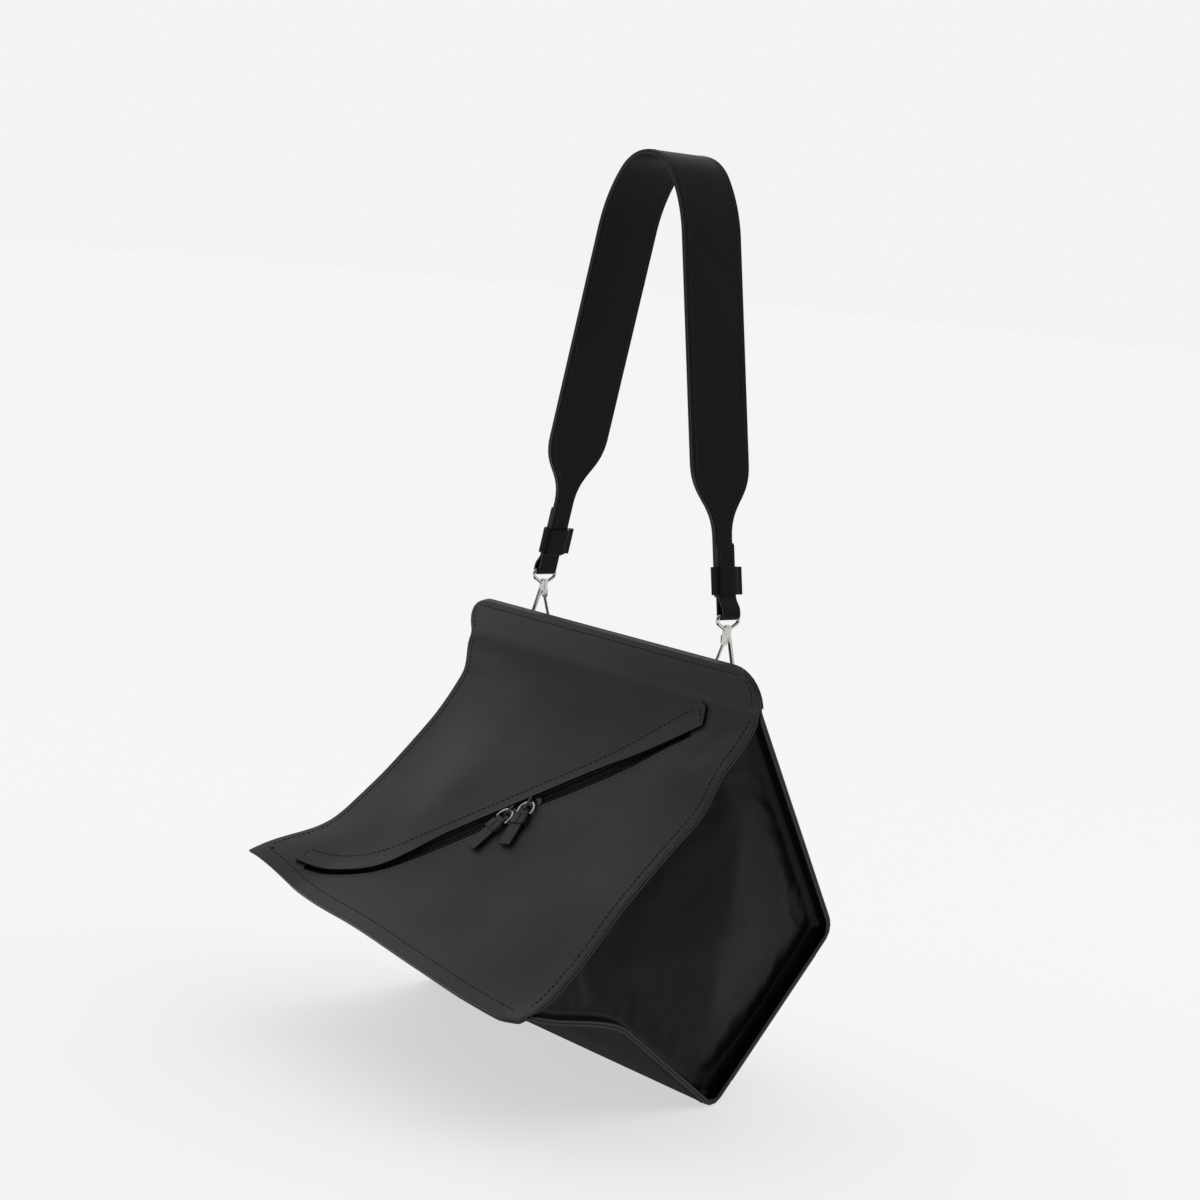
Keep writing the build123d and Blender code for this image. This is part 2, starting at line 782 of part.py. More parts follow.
with BuildPart() as hook_body_right:
    add(hook_body_part(1))
hook_body_right.part.label = "hook_body_right"
export_step(hook_body_right.part, "parts/hook_body_right.step")

with BuildPart() as gate_left:
    add(gate_part(-1))
gate_left.part.label = "gate_left"
export_step(gate_left.part, "parts/gate_left.step")

with BuildPart() as gate_right:
    add(gate_part(1))
gate_right.part.label = "gate_right"
export_step(gate_right.part, "parts/gate_right.step")

with BuildPart() as gate_pin_left:
    add(gate_pin_part(-1))
gate_pin_left.part.label = "gate_pin_left"
export_step(gate_pin_left.part, "parts/gate_pin_left.step")

with BuildPart() as gate_pin_right:
    add(gate_pin_part(1))
gate_pin_right.part.label = "gate_pin_right"
export_step(gate_pin_right.part, "parts/gate_pin_right.step")

# ---- D-rings and their tabs, on the back of the collar ----------------------------------
ring_rise = ((ring_crown[0] - ring_bar[0]) ** 2 + (ring_crown[1] - ring_bar[1]) ** 2) ** 0.5
ring_up = Vector(0, ring_crown[0] - ring_bar[0], ring_crown[1] - ring_bar[1]).normalized()
tab_width, tab_outer = 15.5, ring_wire + ring_play + thin_leather
back_down = Vector(rump[0], rump[1]).normalized()
back_out = Vector(-back_down.Y, back_down.X)

with BuildPart() as d_ring_right:
    ring_plane = Plane(
        origin=(eye_x, apex_y + ring_bar[0], apex_z + ring_bar[1]),
        x_dir=(1, 0, 0),
        z_dir=(0, -ring_up.Z, ring_up.Y),
    )
    with BuildLine(ring_plane) as ring_path:
        straight = ring_rise - ring_half
        ThreePointArc((-ring_half, straight), (0, ring_rise), (ring_half, straight))
        FilletPolyline(
            (ring_half, straight), (ring_half, 0), (-ring_half, 0), (-ring_half, straight), radius=2
        )
    with BuildSketch(Plane(origin=ring_path.line @ 0, z_dir=ring_path.line % 0)):
        Circle(ring_wire)
    sweep(path=ring_path.line)
d_ring_right.part.label = "d_ring_right"
export_step(d_ring_right.part, "parts/d_ring_right.step")

with BuildPart() as d_ring_left:
    mirror(d_ring_right.part, about=Plane.YZ)
d_ring_left.part.label = "d_ring_left"
export_step(d_ring_left.part, "parts/d_ring_left.step")


def back_point(out, along):
    """A point of the section, so far outside the back panel's inner face and down it."""
    point = back_down * along + back_out * out
    return (point.X, point.Y)


with BuildPart() as ring_tab_right:
    with BuildSketch(section.offset(eye_x - tab_width / 2)):
        with Locations(ring_bar):
            Circle(tab_outer)
        with BuildLine():
            tab_foot = leather + seam_gap
            Polyline(
                (ring_bar[0] - tab_outer * 0.35, ring_bar[1] - tab_outer * 0.9),
                back_point(tab_foot, 9),
                back_point(tab_foot, 34),
                back_point(tab_foot + 2 * thin_leather, 34),
                back_point(tab_foot + 2 * thin_leather, 11),
                (ring_bar[0] + tab_outer * 0.95, ring_bar[1] - tab_outer * 0.3),
                ring_bar,
                close=True,
            )
        make_face()
        with Locations(ring_bar):
            Circle(ring_wire + ring_play, mode=Mode.SUBTRACT)
    extrude(amount=tab_width)
ring_tab_right.part.label = "ring_tab_right"
export_step(ring_tab_right.part, "parts/ring_tab_right.step")

with BuildPart() as ring_tab_left:
    mirror(ring_tab_right.part, about=Plane.YZ)
ring_tab_left.part.label = "ring_tab_left"
export_step(ring_tab_left.part, "parts/ring_tab_left.step")
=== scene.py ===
"""A leather shoulder bag: soft leather shell, zip, strap and hooks, built round the CAD frame."""

import json
import math

import bmesh
import bpy
import numpy as np
from mathutils import Matrix, Vector
from mathutils.geometry import delaunay_2d_cdt


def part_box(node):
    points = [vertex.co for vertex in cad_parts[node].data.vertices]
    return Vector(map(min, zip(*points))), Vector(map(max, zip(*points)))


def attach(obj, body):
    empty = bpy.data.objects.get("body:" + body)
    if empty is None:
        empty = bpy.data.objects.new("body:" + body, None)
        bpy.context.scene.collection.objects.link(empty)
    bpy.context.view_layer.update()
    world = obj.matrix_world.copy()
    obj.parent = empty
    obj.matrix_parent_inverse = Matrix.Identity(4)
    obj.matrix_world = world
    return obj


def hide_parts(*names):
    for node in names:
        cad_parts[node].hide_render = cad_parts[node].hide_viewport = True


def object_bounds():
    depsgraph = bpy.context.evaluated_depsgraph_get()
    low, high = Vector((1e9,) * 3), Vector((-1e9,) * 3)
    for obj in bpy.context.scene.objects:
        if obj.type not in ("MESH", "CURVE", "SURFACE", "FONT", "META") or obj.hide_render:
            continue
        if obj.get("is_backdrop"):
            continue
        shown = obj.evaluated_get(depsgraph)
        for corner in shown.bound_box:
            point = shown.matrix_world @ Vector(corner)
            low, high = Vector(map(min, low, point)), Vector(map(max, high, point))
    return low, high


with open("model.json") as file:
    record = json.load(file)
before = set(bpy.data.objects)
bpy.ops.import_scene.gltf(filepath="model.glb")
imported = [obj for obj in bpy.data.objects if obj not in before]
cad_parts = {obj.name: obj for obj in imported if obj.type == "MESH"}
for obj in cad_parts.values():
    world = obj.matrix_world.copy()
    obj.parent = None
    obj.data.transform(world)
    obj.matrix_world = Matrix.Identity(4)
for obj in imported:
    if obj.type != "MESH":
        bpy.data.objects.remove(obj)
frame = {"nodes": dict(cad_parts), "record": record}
cad_low, cad_high = (list(corner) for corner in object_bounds())
MM = 0.001


# ---- Places taken from the frame, in millimetres ----------------------------------------
JOINTS = {joint["name"]: joint for joint in frame["record"]["behaviour"]["joints"]}


def joint_place(name):
    """The middle of a joint's axis."""
    return np.array(JOINTS[name]["pos_m"]) / MM


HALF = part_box("front_panel")[1][0] / MM
# The apex, where front and back meet, sits just below and before the D-rings' bars.
APEX = (joint_place("bag_swing") - (0.0, 7.5, 4.0)) * (0, 1, 1)
NOSE, WAIST, HEEL, RUMP = (-190.0, -187.0), (-103.0, -224.0), (-6.0, -296.0), (101.0, -171.0)
LEATHER, TRIM, GAP = 2.0, 1.6, 0.15
SECOND_LOW = LEATHER + GAP
SECOND_TOP = SECOND_LOW + TRIM
COLLAR, COLLAR_LEAN = 32.0, math.radians(14.5)
COLLAR_CORNER = 26
LIP = 8.0
NOSE_SPREAD_LEFT, NOSE_SPREAD_RIGHT = -9.0, 3.0
HOLLOW, FLAT_FROM, FLAT_TO = 18.0, 80.0, 190.0
CHORD = math.hypot(*NOSE)
DOWN = np.array([0.0, NOSE[0] / CHORD, NOSE[1] / CHORD])
INWARD = np.array([0.0, -DOWN[2], DOWN[1]])
RECESS = 12.0
ZIP_ANGLE, ZIP_MIDDLE = math.radians(46.1), 138.0


def smooth(low, high, value):
    """0 up to low and 1 from high on, with a soft step between them."""
    t = np.clip((np.asarray(value, float) - low) / (high - low), 0, 1)
    return t * t * (3 - 2 * t)


def bell(value, middle, width):
    """1 in the middle, fading to nothing about two widths away."""
    return np.exp(-(((np.asarray(value, float) - middle) / width) ** 2))


def distances(points):
    """How far along a line each of its points is."""
    return np.concatenate([[0], np.cumsum(np.linalg.norm(np.diff(points, axis=0), axis=1))])


def along_path(v, where, values):
    """Values known at some distances along a path, read off at others."""
    return np.column_stack([np.interp(v, where, column) for column in np.transpose(values)])


def nearest(points, spots):
    """Each point's distance from the nearest of the spots."""
    away = np.full(len(points), np.inf)
    for spot in spots:
        away = np.minimum(away, np.linalg.norm(points - spot, axis=1))
    return away


def tangents(points):
    tangent = np.gradient(points, axis=0)
    return tangent / np.linalg.norm(tangent, axis=1)[:, None]


def outwards(points):
    """Normals on the outer side of a line that runs in the YZ plane."""
    tangent = tangents(points)
    return np.column_stack([0 * tangent[:, 0], tangent[:, 2], -tangent[:, 1]])


# ---- Mesh helpers -----------------------------------------------------------------------
def new_mesh(name, verts, faces, materials, indices=None, body="bag", bevel=0.0):
    mesh = bpy.data.meshes.new(name)
    mesh.from_pydata((np.asarray(verts, float) * MM).tolist(), [], [list(map(int, f)) for f in faces])
    for material in materials:
        mesh.materials.append(material)
    if indices is not None:
        mesh.polygons.foreach_set("material_index", np.asarray(indices, np.int32))
    mesh.validate()
    mesh.polygons.foreach_set("use_smooth", [True] * len(mesh.polygons))
    obj = bpy.data.objects.new(name, mesh)
    bpy.context.scene.collection.objects.link(obj)
    if bevel:
        edge = obj.modifiers.new("Edge", "BEVEL")
        edge.width = bevel * MM
        edge.segments = 3
        edge.limit_method = "ANGLE"
        edge.angle_limit = math.radians(50)
        hold = obj.modifiers.new("Normals", "WEIGHTED_NORMAL")
        hold.keep_sharp = True
    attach(obj, body)
    return obj


def cut(outline, holes, spacing):
    """Triangles over an outline with holes: their flat points and corners."""
    rings = [np.asarray(outline, float)] + [np.asarray(h, float) for h in holes]
    points, edges = [], []
    for ring in rings:
        dense = []
        for a, b in zip(ring, np.roll(ring, -1, axis=0)):
            steps = max(1, int(np.ceil(np.linalg.norm(b - a) / spacing)))
            dense += [a + (b - a) * k / steps for k in range(steps)]
        start = len(points)
        points += dense
        edges += [(start + k, start + (k + 1) % len(dense)) for k in range(len(dense))]
    border = np.array(points)
    low, high = border.min(0), border.max(0)
    us, vs = (
        np.linspace(low[k], high[k], int((high[k] - low[k]) / spacing) + 1)[1:-1] for k in (0, 1)
    )
    grid = np.array([(u, v) for v in vs for u in us]).reshape(-1, 2)
    grid = grid[nearest(grid, border) > spacing * 0.55]
    coords = [Vector(p) for p in np.vstack([border, grid])]
    verts, _, tris, _, _, _ = delaunay_2d_cdt(coords, edges, [], 0, 1e-5)
    flat = np.array([tuple(v) for v in verts])
    tris = np.array([t for t in tris if len(t) == 3])
    middles = flat[tris].mean(axis=1)
    keep = inside(middles, rings[0])
    for hole in rings[1:]:
        keep &= ~inside(middles, hole)
    return flat, tris[keep]


def closed(side, count, materials):
    """Faces of a closed sheet, and their materials: one side, the other, and walls round the rim."""
    used = {(f[k], f[(k + 1) % len(f)]) for f in side for k in range(len(f))}
    rim = sorted((a, b) for a, b in used if (b, a) not in used)
    faces = [tuple(f) for f in side] + [tuple(v + count for v in f[::-1]) for f in side]
    walls = [(b, a, a + count, b + count) for a, b in rim]
    return faces + walls, [0] * len(faces) + [min(1, len(materials) - 1)] * len(walls)


def slab(name, outline, holes, spacing, place, low, high, materials, body="bag", bevel=0.45):
    """A sheet cut to an outline in its own flat plane, then laid where place(u, v, height) says."""
    flat, tris = cut(outline, holes, spacing)
    top = place(flat[:, 0], flat[:, 1], high)
    bottom = place(flat[:, 0], flat[:, 1], low)
    faces, indices = closed(tris, len(flat), materials)
    obj = new_mesh(name, np.vstack([top, bottom]), faces, materials, indices, body, bevel)
    fix_normals(obj)
    return obj


def inside(points, ring):
    """Which points lie inside a closed ring."""
    x, y = points[:, 0], points[:, 1]
    result = np.zeros(len(points), bool)
    for (x1, y1), (x2, y2) in zip(ring, np.roll(ring, -1, axis=0)):
        crosses = (y1 > y) != (y2 > y)
        if y1 != y2:
            result ^= crosses & (x < (x2 - x1) * (y - y1) / (y2 - y1) + x1)
    return result


def strip(name, path, normals, side, half, thick, materials, body, columns, bevel=0.4):
    """A band of leather: path and normals along its inner face, side across it, half its width."""
    path, normals = np.asarray(path, float), np.asarray(normals, float)
    half = np.broadcast_to(np.asarray(half, float), (len(path),))
    across = np.linspace(-1, 1, columns + 1)
    sideways = (half[:, None] * across)[..., None] * np.asarray(side, float)
    sheets = [path[:, None] + sideways + normals[:, None] * height for height in (0.0, thick)]
    rows, cols = len(path), columns + 1
    starts = [i * cols + j for i in range(rows - 1) for j in range(columns)]
    quads = [(a, a + 1, a + 1 + cols, a + cols) for a in starts]
    faces, indices = closed(quads, rows * cols, materials)
    verts = np.concatenate([sheet.reshape(-1, 3) for sheet in sheets])
    obj = new_mesh(name, verts, faces, materials, indices, body, bevel)
    fix_normals(obj)
    return obj


def fix_normals(obj, join=0.0):
    work = bmesh.new()
    work.from_mesh(obj.data)
    if join:
        bmesh.ops.remove_doubles(work, verts=work.verts, dist=join * MM)
    bmesh.ops.recalc_face_normals(work, faces=work.faces)
    work.to_mesh(obj.data)
    work.free()


SETTLE_FRAMES = 20


def settle(obj, seams, grow, pressure, most):
    """Lets the hide between its seams swell and crease as cloth, then keeps that shape."""
    rest = np.array([tuple(v.co) for v in obj.data.vertices])
    pinned = np.flatnonzero(nearest(rest, seams * MM) < 0.3 * MM)
    group = obj.vertex_groups.new(name="seams")
    group.add(pinned.tolist(), 1.0, "REPLACE")
    cloth = obj.modifiers.new("Settle", "CLOTH")
    hold = cloth.settings
    # A firm 1.6 mm hide: hardly stretches, bends stiffly, slightly too large for its seams.
    hold.vertex_group_mass = group.name
    hold.quality = 8
    hold.mass = 0.4
    hold.tension_stiffness = hold.compression_stiffness = 30
    hold.shear_stiffness = 12
    hold.bending_stiffness = 3
    hold.shrink_min = -grow
    hold.use_pressure = True
    hold.uniform_pressure_force = pressure
    hold.effector_weights.gravity = 0
    scene = bpy.context.scene
    cloth.point_cache.frame_start, cloth.point_cache.frame_end = 1, SETTLE_FRAMES
    for frame_number in range(1, SETTLE_FRAMES + 1):
        scene.frame_set(frame_number)
    graph = bpy.context.evaluated_depsgraph_get()
    moved = np.array([tuple(v.co) for v in obj.evaluated_get(graph).data.vertices])
    obj.modifiers.remove(cloth)
    obj.vertex_groups.clear()
    scene.frame_set(1)
    step = moved - rest
    length = np.linalg.norm(step, axis=1)[:, None]
    step *= np.minimum(1, most * MM / np.maximum(length, 1e-9))
    obj.data.vertices.foreach_set("co", (rest + step).ravel())
    obj.data.update()


def tube(start, rings, sides):
    """Faces of a closed tube, from rings of points that follow each other from start on."""
    ends = (start, start + (rings - 1) * sides)
    faces = []
    for first in range(start, ends[1], sides):
        for k in range(sides):
            a, b = first + k, first + (k + 1) % sides
            faces.append((a, b, b + sides, a + sides))
    return faces + [tuple(range(ends[0], ends[0] + sides))[::-1], tuple(range(ends[1], ends[1] + sides))]


def resample(points, spacing):
    """The same line as points about a spacing apart."""
    length = distances(points)
    count = max(2, int(round(length[-1] / spacing)) + 1)
    return along_path(np.linspace(0, length[-1], count), length, points)


STITCH, PITCH, THREAD = 3.1, 4.2, 0.36


def stitches(name, lines, material, body="bag"):
    """Sewn lines: for each (points, normals) run, one low thread capsule per stitch."""
    verts, faces = [], []
    rings = ((-0.5, 0.35), (-0.36, 0.9), (0.0, 1.0), (0.36, 0.9), (0.5, 0.35))
    sides = 6
    for points, normals in lines:
        length = distances(points)
        for middle in np.arange(PITCH, length[-1] - PITCH * 0.6, PITCH):
            back, at, ahead = along_path([middle - STITCH / 2, middle, middle + STITCH / 2], length, points)
            up = along_path([middle], length, normals)[0]
            up /= np.linalg.norm(up)
            along = ahead - back
            along /= max(np.linalg.norm(along), 1e-6)
            cross = np.cross(along, up)
            start = len(verts)
            for share, radius in rings:
                centre = at + along * share * STITCH + up * (0.12 * radius - 0.1)
                for turn in [2 * math.pi * k / sides for k in range(sides)]:
                    round_it = cross * math.cos(turn) + up * math.sin(turn)
                    verts.append(centre + round_it * THREAD * radius)
            faces += tube(start, len(rings), sides)
    obj = new_mesh(name, verts, faces, [material], None, body)
    fix_normals(obj)


# ---- Materials --------------------------------------------------------------------------
def shader(name):
    material = bpy.data.materials.new(name)
    material.use_nodes = True
    tree = material.node_tree
    return material, tree, tree.nodes["Principled BSDF"]


def textured(name):
    material, tree, bsdf = shader(name)
    return material, tree, bsdf, tree.nodes.new("ShaderNodeTexCoord")


def add_noise(tree, coords, scale, detail=3.0, rough=0.55):
    node = tree.nodes.new("ShaderNodeTexNoise")
    node.inputs["Scale"].default_value = scale
    node.inputs["Detail"].default_value = detail
    node.inputs["Roughness"].default_value = rough
    tree.links.new(coords.outputs["Object"], node.inputs["Vector"])
    return node


def add_ramp(tree, source, low, high, stops=(0.3, 0.7)):
    node = tree.nodes.new("ShaderNodeMapRange")
    node.inputs["From Min"].default_value, node.inputs["From Max"].default_value = stops
    node.inputs["To Min"].default_value, node.inputs["To Max"].default_value = low, high
    tree.links.new(source, node.inputs["Value"])
    return node.outputs["Result"]


def add_mix(tree, factor, dark, light):
    node = tree.nodes.new("ShaderNodeMix")
    node.data_type = "RGBA"
    node.inputs["A"].default_value = (*dark, 1)
    node.inputs["B"].default_value = (*light, 1)
    tree.links.new(factor, node.inputs["Factor"])
    return node.outputs["Result"]


def add_bump(tree, heights, bsdf):
    """Bumps in series, each (height output, distance in metres, strength)."""
    last = None
    for height, distance, strength in heights:
        bump = tree.nodes.new("ShaderNodeBump")
        bump.inputs["Distance"].default_value = distance
        bump.inputs["Strength"].default_value = strength
        tree.links.new(height, bump.inputs["Height"])
        if last:
            tree.links.new(last, bump.inputs["Normal"])
        last = bump.outputs["Normal"]
    tree.links.new(last, bsdf.inputs["Normal"])


def leather(name, dark, light, rough, specular=0.5):
    material, tree, bsdf, coords = textured(name)
    cloud = add_noise(tree, coords, 9.0, 4.0)
    fine = add_noise(tree, coords, 900.0, 5.0, 0.7)
    creases = add_noise(tree, coords, 70.0, 6.0, 0.6)
    pores = tree.nodes.new("ShaderNodeTexVoronoi")
    pores.feature = "DISTANCE_TO_EDGE"
    pores.inputs["Scale"].default_value = 850.0
    tree.links.new(coords.outputs["Object"], pores.inputs["Vector"])
    tree.links.new(add_mix(tree, add_ramp(tree, cloud.outputs["Fac"], 0, 1), dark, light),
                   bsdf.inputs["Base Color"])
    tree.links.new(add_ramp(tree, fine.outputs["Fac"], *rough), bsdf.inputs["Roughness"])
    add_bump(tree, [(cloud.outputs["Fac"], 0.004, 0.25),
                    (creases.outputs["Fac"], 0.0006, 0.28),
                    (pores.outputs["Distance"], 0.00012, 0.5),
                    (fine.outputs["Fac"], 0.0001, 0.4)], bsdf)
    bsdf.inputs["Specular IOR Level"].default_value = specular
    return material


def painted(name, colour, rough, coat=0.25, specular=0.4):
    material, tree, bsdf, coords = textured(name)
    wave = add_noise(tree, coords, 260.0, 3.0)
    tree.links.new(add_mix(tree, add_ramp(tree, wave.outputs["Fac"], 0, 1), colour,
                           tuple(c * 1.6 for c in colour)), bsdf.inputs["Base Color"])
    tree.links.new(add_ramp(tree, wave.outputs["Fac"], rough - 0.06, rough + 0.08),
                   bsdf.inputs["Roughness"])
    add_bump(tree, [(wave.outputs["Fac"], 0.0003, 0.3)], bsdf)
    bsdf.inputs["Specular IOR Level"].default_value = specular
    bsdf.inputs["Coat Weight"].default_value = coat
    bsdf.inputs["Coat Roughness"].default_value = 0.3
    return material


def metal(name, colour, rough):
    material, tree, bsdf, coords = textured(name)
    wear = add_noise(tree, coords, 420.0, 4.0)
    tree.links.new(add_mix(tree, add_ramp(tree, wear.outputs["Fac"], 0, 1),
                           tuple(c * 0.88 for c in colour), colour), bsdf.inputs["Base Color"])
    tree.links.new(add_ramp(tree, wear.outputs["Fac"], rough * 0.7, rough * 1.5),
                   bsdf.inputs["Roughness"])
    add_bump(tree, [(wear.outputs["Fac"], 0.00001, 0.2)], bsdf)
    bsdf.inputs["Metallic"].default_value = 1.0
    return material


def woven(name, colour):
    material, tree, bsdf, coords = textured(name)
    weave = tree.nodes.new("ShaderNodeTexWave")
    weave.inputs["Scale"].default_value = 420.0
    weave.inputs["Distortion"].default_value = 1.5
    tree.links.new(coords.outputs["Object"], weave.inputs["Vector"])
    tree.links.new(add_mix(tree, weave.outputs["Fac"], colour, tuple(c * 2 for c in colour)),
                   bsdf.inputs["Base Color"])
    add_bump(tree, [(weave.outputs["Fac"], 0.0003, 0.6)], bsdf)
    bsdf.inputs["Roughness"].default_value = 0.85
    return material


DEEP_BLACK, SOFT_BLACK = (0.0016, 0.0016, 0.0017), (0.003, 0.003, 0.0032)
hide = leather("smooth_leather", (0.018, 0.018, 0.0184), (0.028, 0.028, 0.0285), (0.42, 0.56), 0.3)
# Painted shade: the underside is the front's leather made near black, standing in for the shade under the
# bag.
underside_shade_hide = leather("base_leather", DEEP_BLACK, SOFT_BLACK, (0.6, 0.75), 0.04)
# Painted shade: the gussets are the front's leather made near black, standing in for the shade on the bag's
# sides.
gusset_shade_hide = leather("gusset_leather", DEEP_BLACK, SOFT_BLACK, (0.26, 0.38), 0.13)
strap_hide = leather("strap_leather", DEEP_BLACK, SOFT_BLACK, (0.36, 0.5), 0.09)
edge_paint = painted("edge_paint", (0.006, 0.006, 0.0062), 0.42, coat=0.12, specular=0.3)
thread = painted("thread", (0.0015, 0.0015, 0.0015), 0.7, coat=0.0, specular=0.1)
strap_thread = painted("strap_thread", (0.012, 0.012, 0.0125), 0.5, coat=0.0, specular=0.3)
nickel = metal("polished_nickel", (0.62, 0.605, 0.58), 0.09)
black_metal = metal("blackened_metal", (0.05, 0.05, 0.052), 0.3)
tape = woven("zip_tape", (0.006, 0.006, 0.006))
tooth_black = painted("zip_teeth", (0.01, 0.01, 0.01), 0.35)
board = leather("board", (0.03, 0.03, 0.03), (0.04, 0.04, 0.04), (0.7, 0.8))
BAG_LEATHER, STRAP_LEATHER = [hide, edge_paint], [strap_hide, edge_paint]


# ---- The front panel's surface ----------------------------------------------------------
def arc_radius(run):
    """The radius of an arc that drops by the front's hollow over a run."""
    return (run**2 + HOLLOW**2) / (2 * HOLLOW)


def hollow_depth(s):
    """How deep the front hangs below its chord, so far down it."""
    s = np.asarray(s, float)
    top, foot = arc_radius(FLAT_FROM), arc_radius(CHORD - FLAT_TO)
    up = np.clip(FLAT_FROM - s, 0, FLAT_FROM * 1.4)
    low = np.clip(s - FLAT_TO, 0, (CHORD - FLAT_TO) * 1.12)
    return HOLLOW - (top - np.sqrt(top**2 - up**2)) - (foot - np.sqrt(foot**2 - low**2))


def front_path():
    """The front's inner face from the collar's top to the nose lip: distance, place, normal."""
    rise = np.arange(-COLLAR, 0, 1.0)
    collar = np.column_stack(
        [0 * rise, rise * math.sin(COLLAR_LEAN) - GAP, -rise * math.cos(COLLAR_LEAN)])
    s = np.arange(0, CHORD + LIP + 12, 1.0)
    body = s[:, None] * DOWN + hollow_depth(s)[:, None] * INWARD
    points = np.vstack([collar, body])
    reach = 7
    padded = np.vstack([np.repeat(points[:1], reach, 0), points, np.repeat(points[-1:], reach, 0)])
    weights = bell(np.arange(-reach, reach + 1), 0, 3.5)
    weights /= weights.sum()
    soft = sum(w * padded[k : k + len(points)] for k, w in enumerate(weights))
    soft[:reach], soft[-reach:] = points[:reach], points[-reach:]
    return np.concatenate([rise, s]), soft, outwards(soft)


FRONT_V, FRONT_P, FRONT_N = front_path()
NOSE_ROW = np.searchsorted(FRONT_V, CHORD)
NOSE_OUT = FRONT_N[NOSE_ROW]


def nose_shift(x):
    """How far the nose seam stands beyond its straight line, down the panel and outwards."""
    down = -9 * smooth(-60, -170, x) + 15 * smooth(-80, 120, x) - 4 * smooth(150, 172, x)
    out = 12 * smooth(-110, -172, x) - 7 * smooth(60, 172, x)
    return down, out


def sag(x, s):
    """How much deeper the leather hangs towards its free side edges."""
    before_nose = 1 - smooth(225, 262, s)
    # The left edge hangs deeper, and the right edge stands up below the collar.
    left = smooth(-60, -170, x) * (9.5 * smooth(5, 32, s) * (1 - smooth(125, 240, s)))
    right = smooth(60, 170, x) * (-7.5 * bell(s, 52, 26) - 3.5 * smooth(70, 120, s) * before_nose)
    # Soft waves everywhere but along the zip, which the sliders and pulls need flat.
    along = (x * math.cos(ZIP_ANGLE)) + (ZIP_MIDDLE - s) * math.sin(ZIP_ANGLE)
    across = x * math.sin(ZIP_ANGLE) - (ZIP_MIDDLE - s) * math.cos(ZIP_ANGLE)
    away = smooth(24, 80, np.hypot(along - np.clip(along, -60, 90), across))
    ripple = 0.9 * np.sin(x / 31 + s / 47) * np.sin(s / 39 - x / 83 + 1.1)
    ripple += 0.5 * np.sin(x / 17 - s / 23 + 2)
    # Fine creases at the right, just below the collar.
    crease = 0.7 * np.sin((x + 0.6 * s) / 6) * bell(x, 150, 20) * bell(s, 34, 22)
    return left + right + crease + ripple * away * smooth(10, 60, s) * before_nose


def place_front(x, v, height):
    """A point on the front: across, down along it from the apex, and out from its inner face."""
    x, v = np.asarray(x, float), np.asarray(v, float)
    point = along_path(v, FRONT_V, FRONT_P)
    normal = along_path(v, FRONT_V, FRONT_N)
    down, out = nose_shift(x)
    share = smooth(175, CHORD, v)
    lift = height - sag(x, v) + out * share
    moved = point + normal * lift[:, None] + DOWN * (down * share)[:, None]
    corner = smooth(190, CHORD, v) * smooth(120, 170, np.abs(x))
    moved[:, 0] = x + np.where(x < 0, NOSE_SPREAD_LEFT, NOSE_SPREAD_RIGHT) * corner
    return moved + APEX


# ---- The shell behind it: underside, base and back --------------------------------------
def rounded(points, radii, step=1.0):
    """A polyline with round corners, as points about a step apart."""
    points = [np.asarray(p, float) for p in points]
    result = [points[0]]
    for before, corner, after, radius in zip(points, points[1:], points[2:], radii):
        u, w = before - corner, after - corner
        u, w = u / np.linalg.norm(u), w / np.linalg.norm(w)
        half = math.acos(np.clip(u @ w, -1, 1)) / 2
        reach = radius / math.tan(half)
        start, end = corner + u * reach, corner + w * reach
        centre = corner + (u + w) / np.linalg.norm(u + w) * radius / math.sin(half)
        a, b = start - centre, end - centre
        total = math.acos(np.clip(a @ b / radius**2, -1, 1))
        for k in range(13):
            t = total * k / 12
            result.append(centre + (a * math.sin(total - t) + b * math.sin(t)) / math.sin(total))
    result.append(points[-1])
    return resample(np.array(result), step)


def shell_path():
    """The inner face from the nose lip under the base and up the back to the collar's top."""
    end = FRONT_P[NOSE_ROW]
    lip = end + np.cross((1, 0, 0), NOSE_OUT) * LIP
    top = (-COLLAR * math.sin(COLLAR_LEAN), COLLAR * math.cos(COLLAR_LEAN))
    corners = [lip[1:], end[1:], WAIST, HEEL, RUMP, (0, 0), top]
    line = rounded(corners, [3, 60, 10, 14, 6])
    points = np.column_stack([np.zeros(len(line)), line])
    return distances(points), points, outwards(points)


SHELL_V, SHELL_P, SHELL_N = shell_path()
SHELL_END = SHELL_V[-1]


def nearest_v(corner):
    return SHELL_V[np.argmin(np.hypot(SHELL_P[:, 1] - corner[0], SHELL_P[:, 2] - corner[1]))]


NOSE_V, WAIST_V, HEEL_V, RUMP_V, APEX_V = (nearest_v(c) for c in (NOSE, WAIST, HEEL, RUMP, (0, 0)))


def place_shell(x, v, height):
    """A point on the shell: across, along it from the nose lip, and out from its inner face."""
    x, v = np.asarray(x, float), np.asarray(v, float)
    point = along_path(v, SHELL_V, SHELL_P)
    normal = along_path(v, SHELL_V, SHELL_N)
    down, out = nose_shift(x)
    share = 1 - smooth(NOSE_V - 1, WAIST_V, v)
    back_dip = 1.4 * bell(v, (RUMP_V + APEX_V) / 2, 60)
    under_swell = 0.8 * bell(v, (WAIST_V + HEEL_V) / 2, 34)
    soft = 2.2 * np.cos(np.clip(x / HALF, -1, 1) * math.pi / 2) * (under_swell - back_dip)
    moved = point + normal * (height + soft)[:, None]
    moved += DOWN * (down * share)[:, None] + NOSE_OUT * (out * share)[:, None]
    corner = share * smooth(120, 170, np.abs(x))
    moved[:, 0] = x + np.where(x < 0, NOSE_SPREAD_LEFT, NOSE_SPREAD_RIGHT) * corner
    return moved + APEX


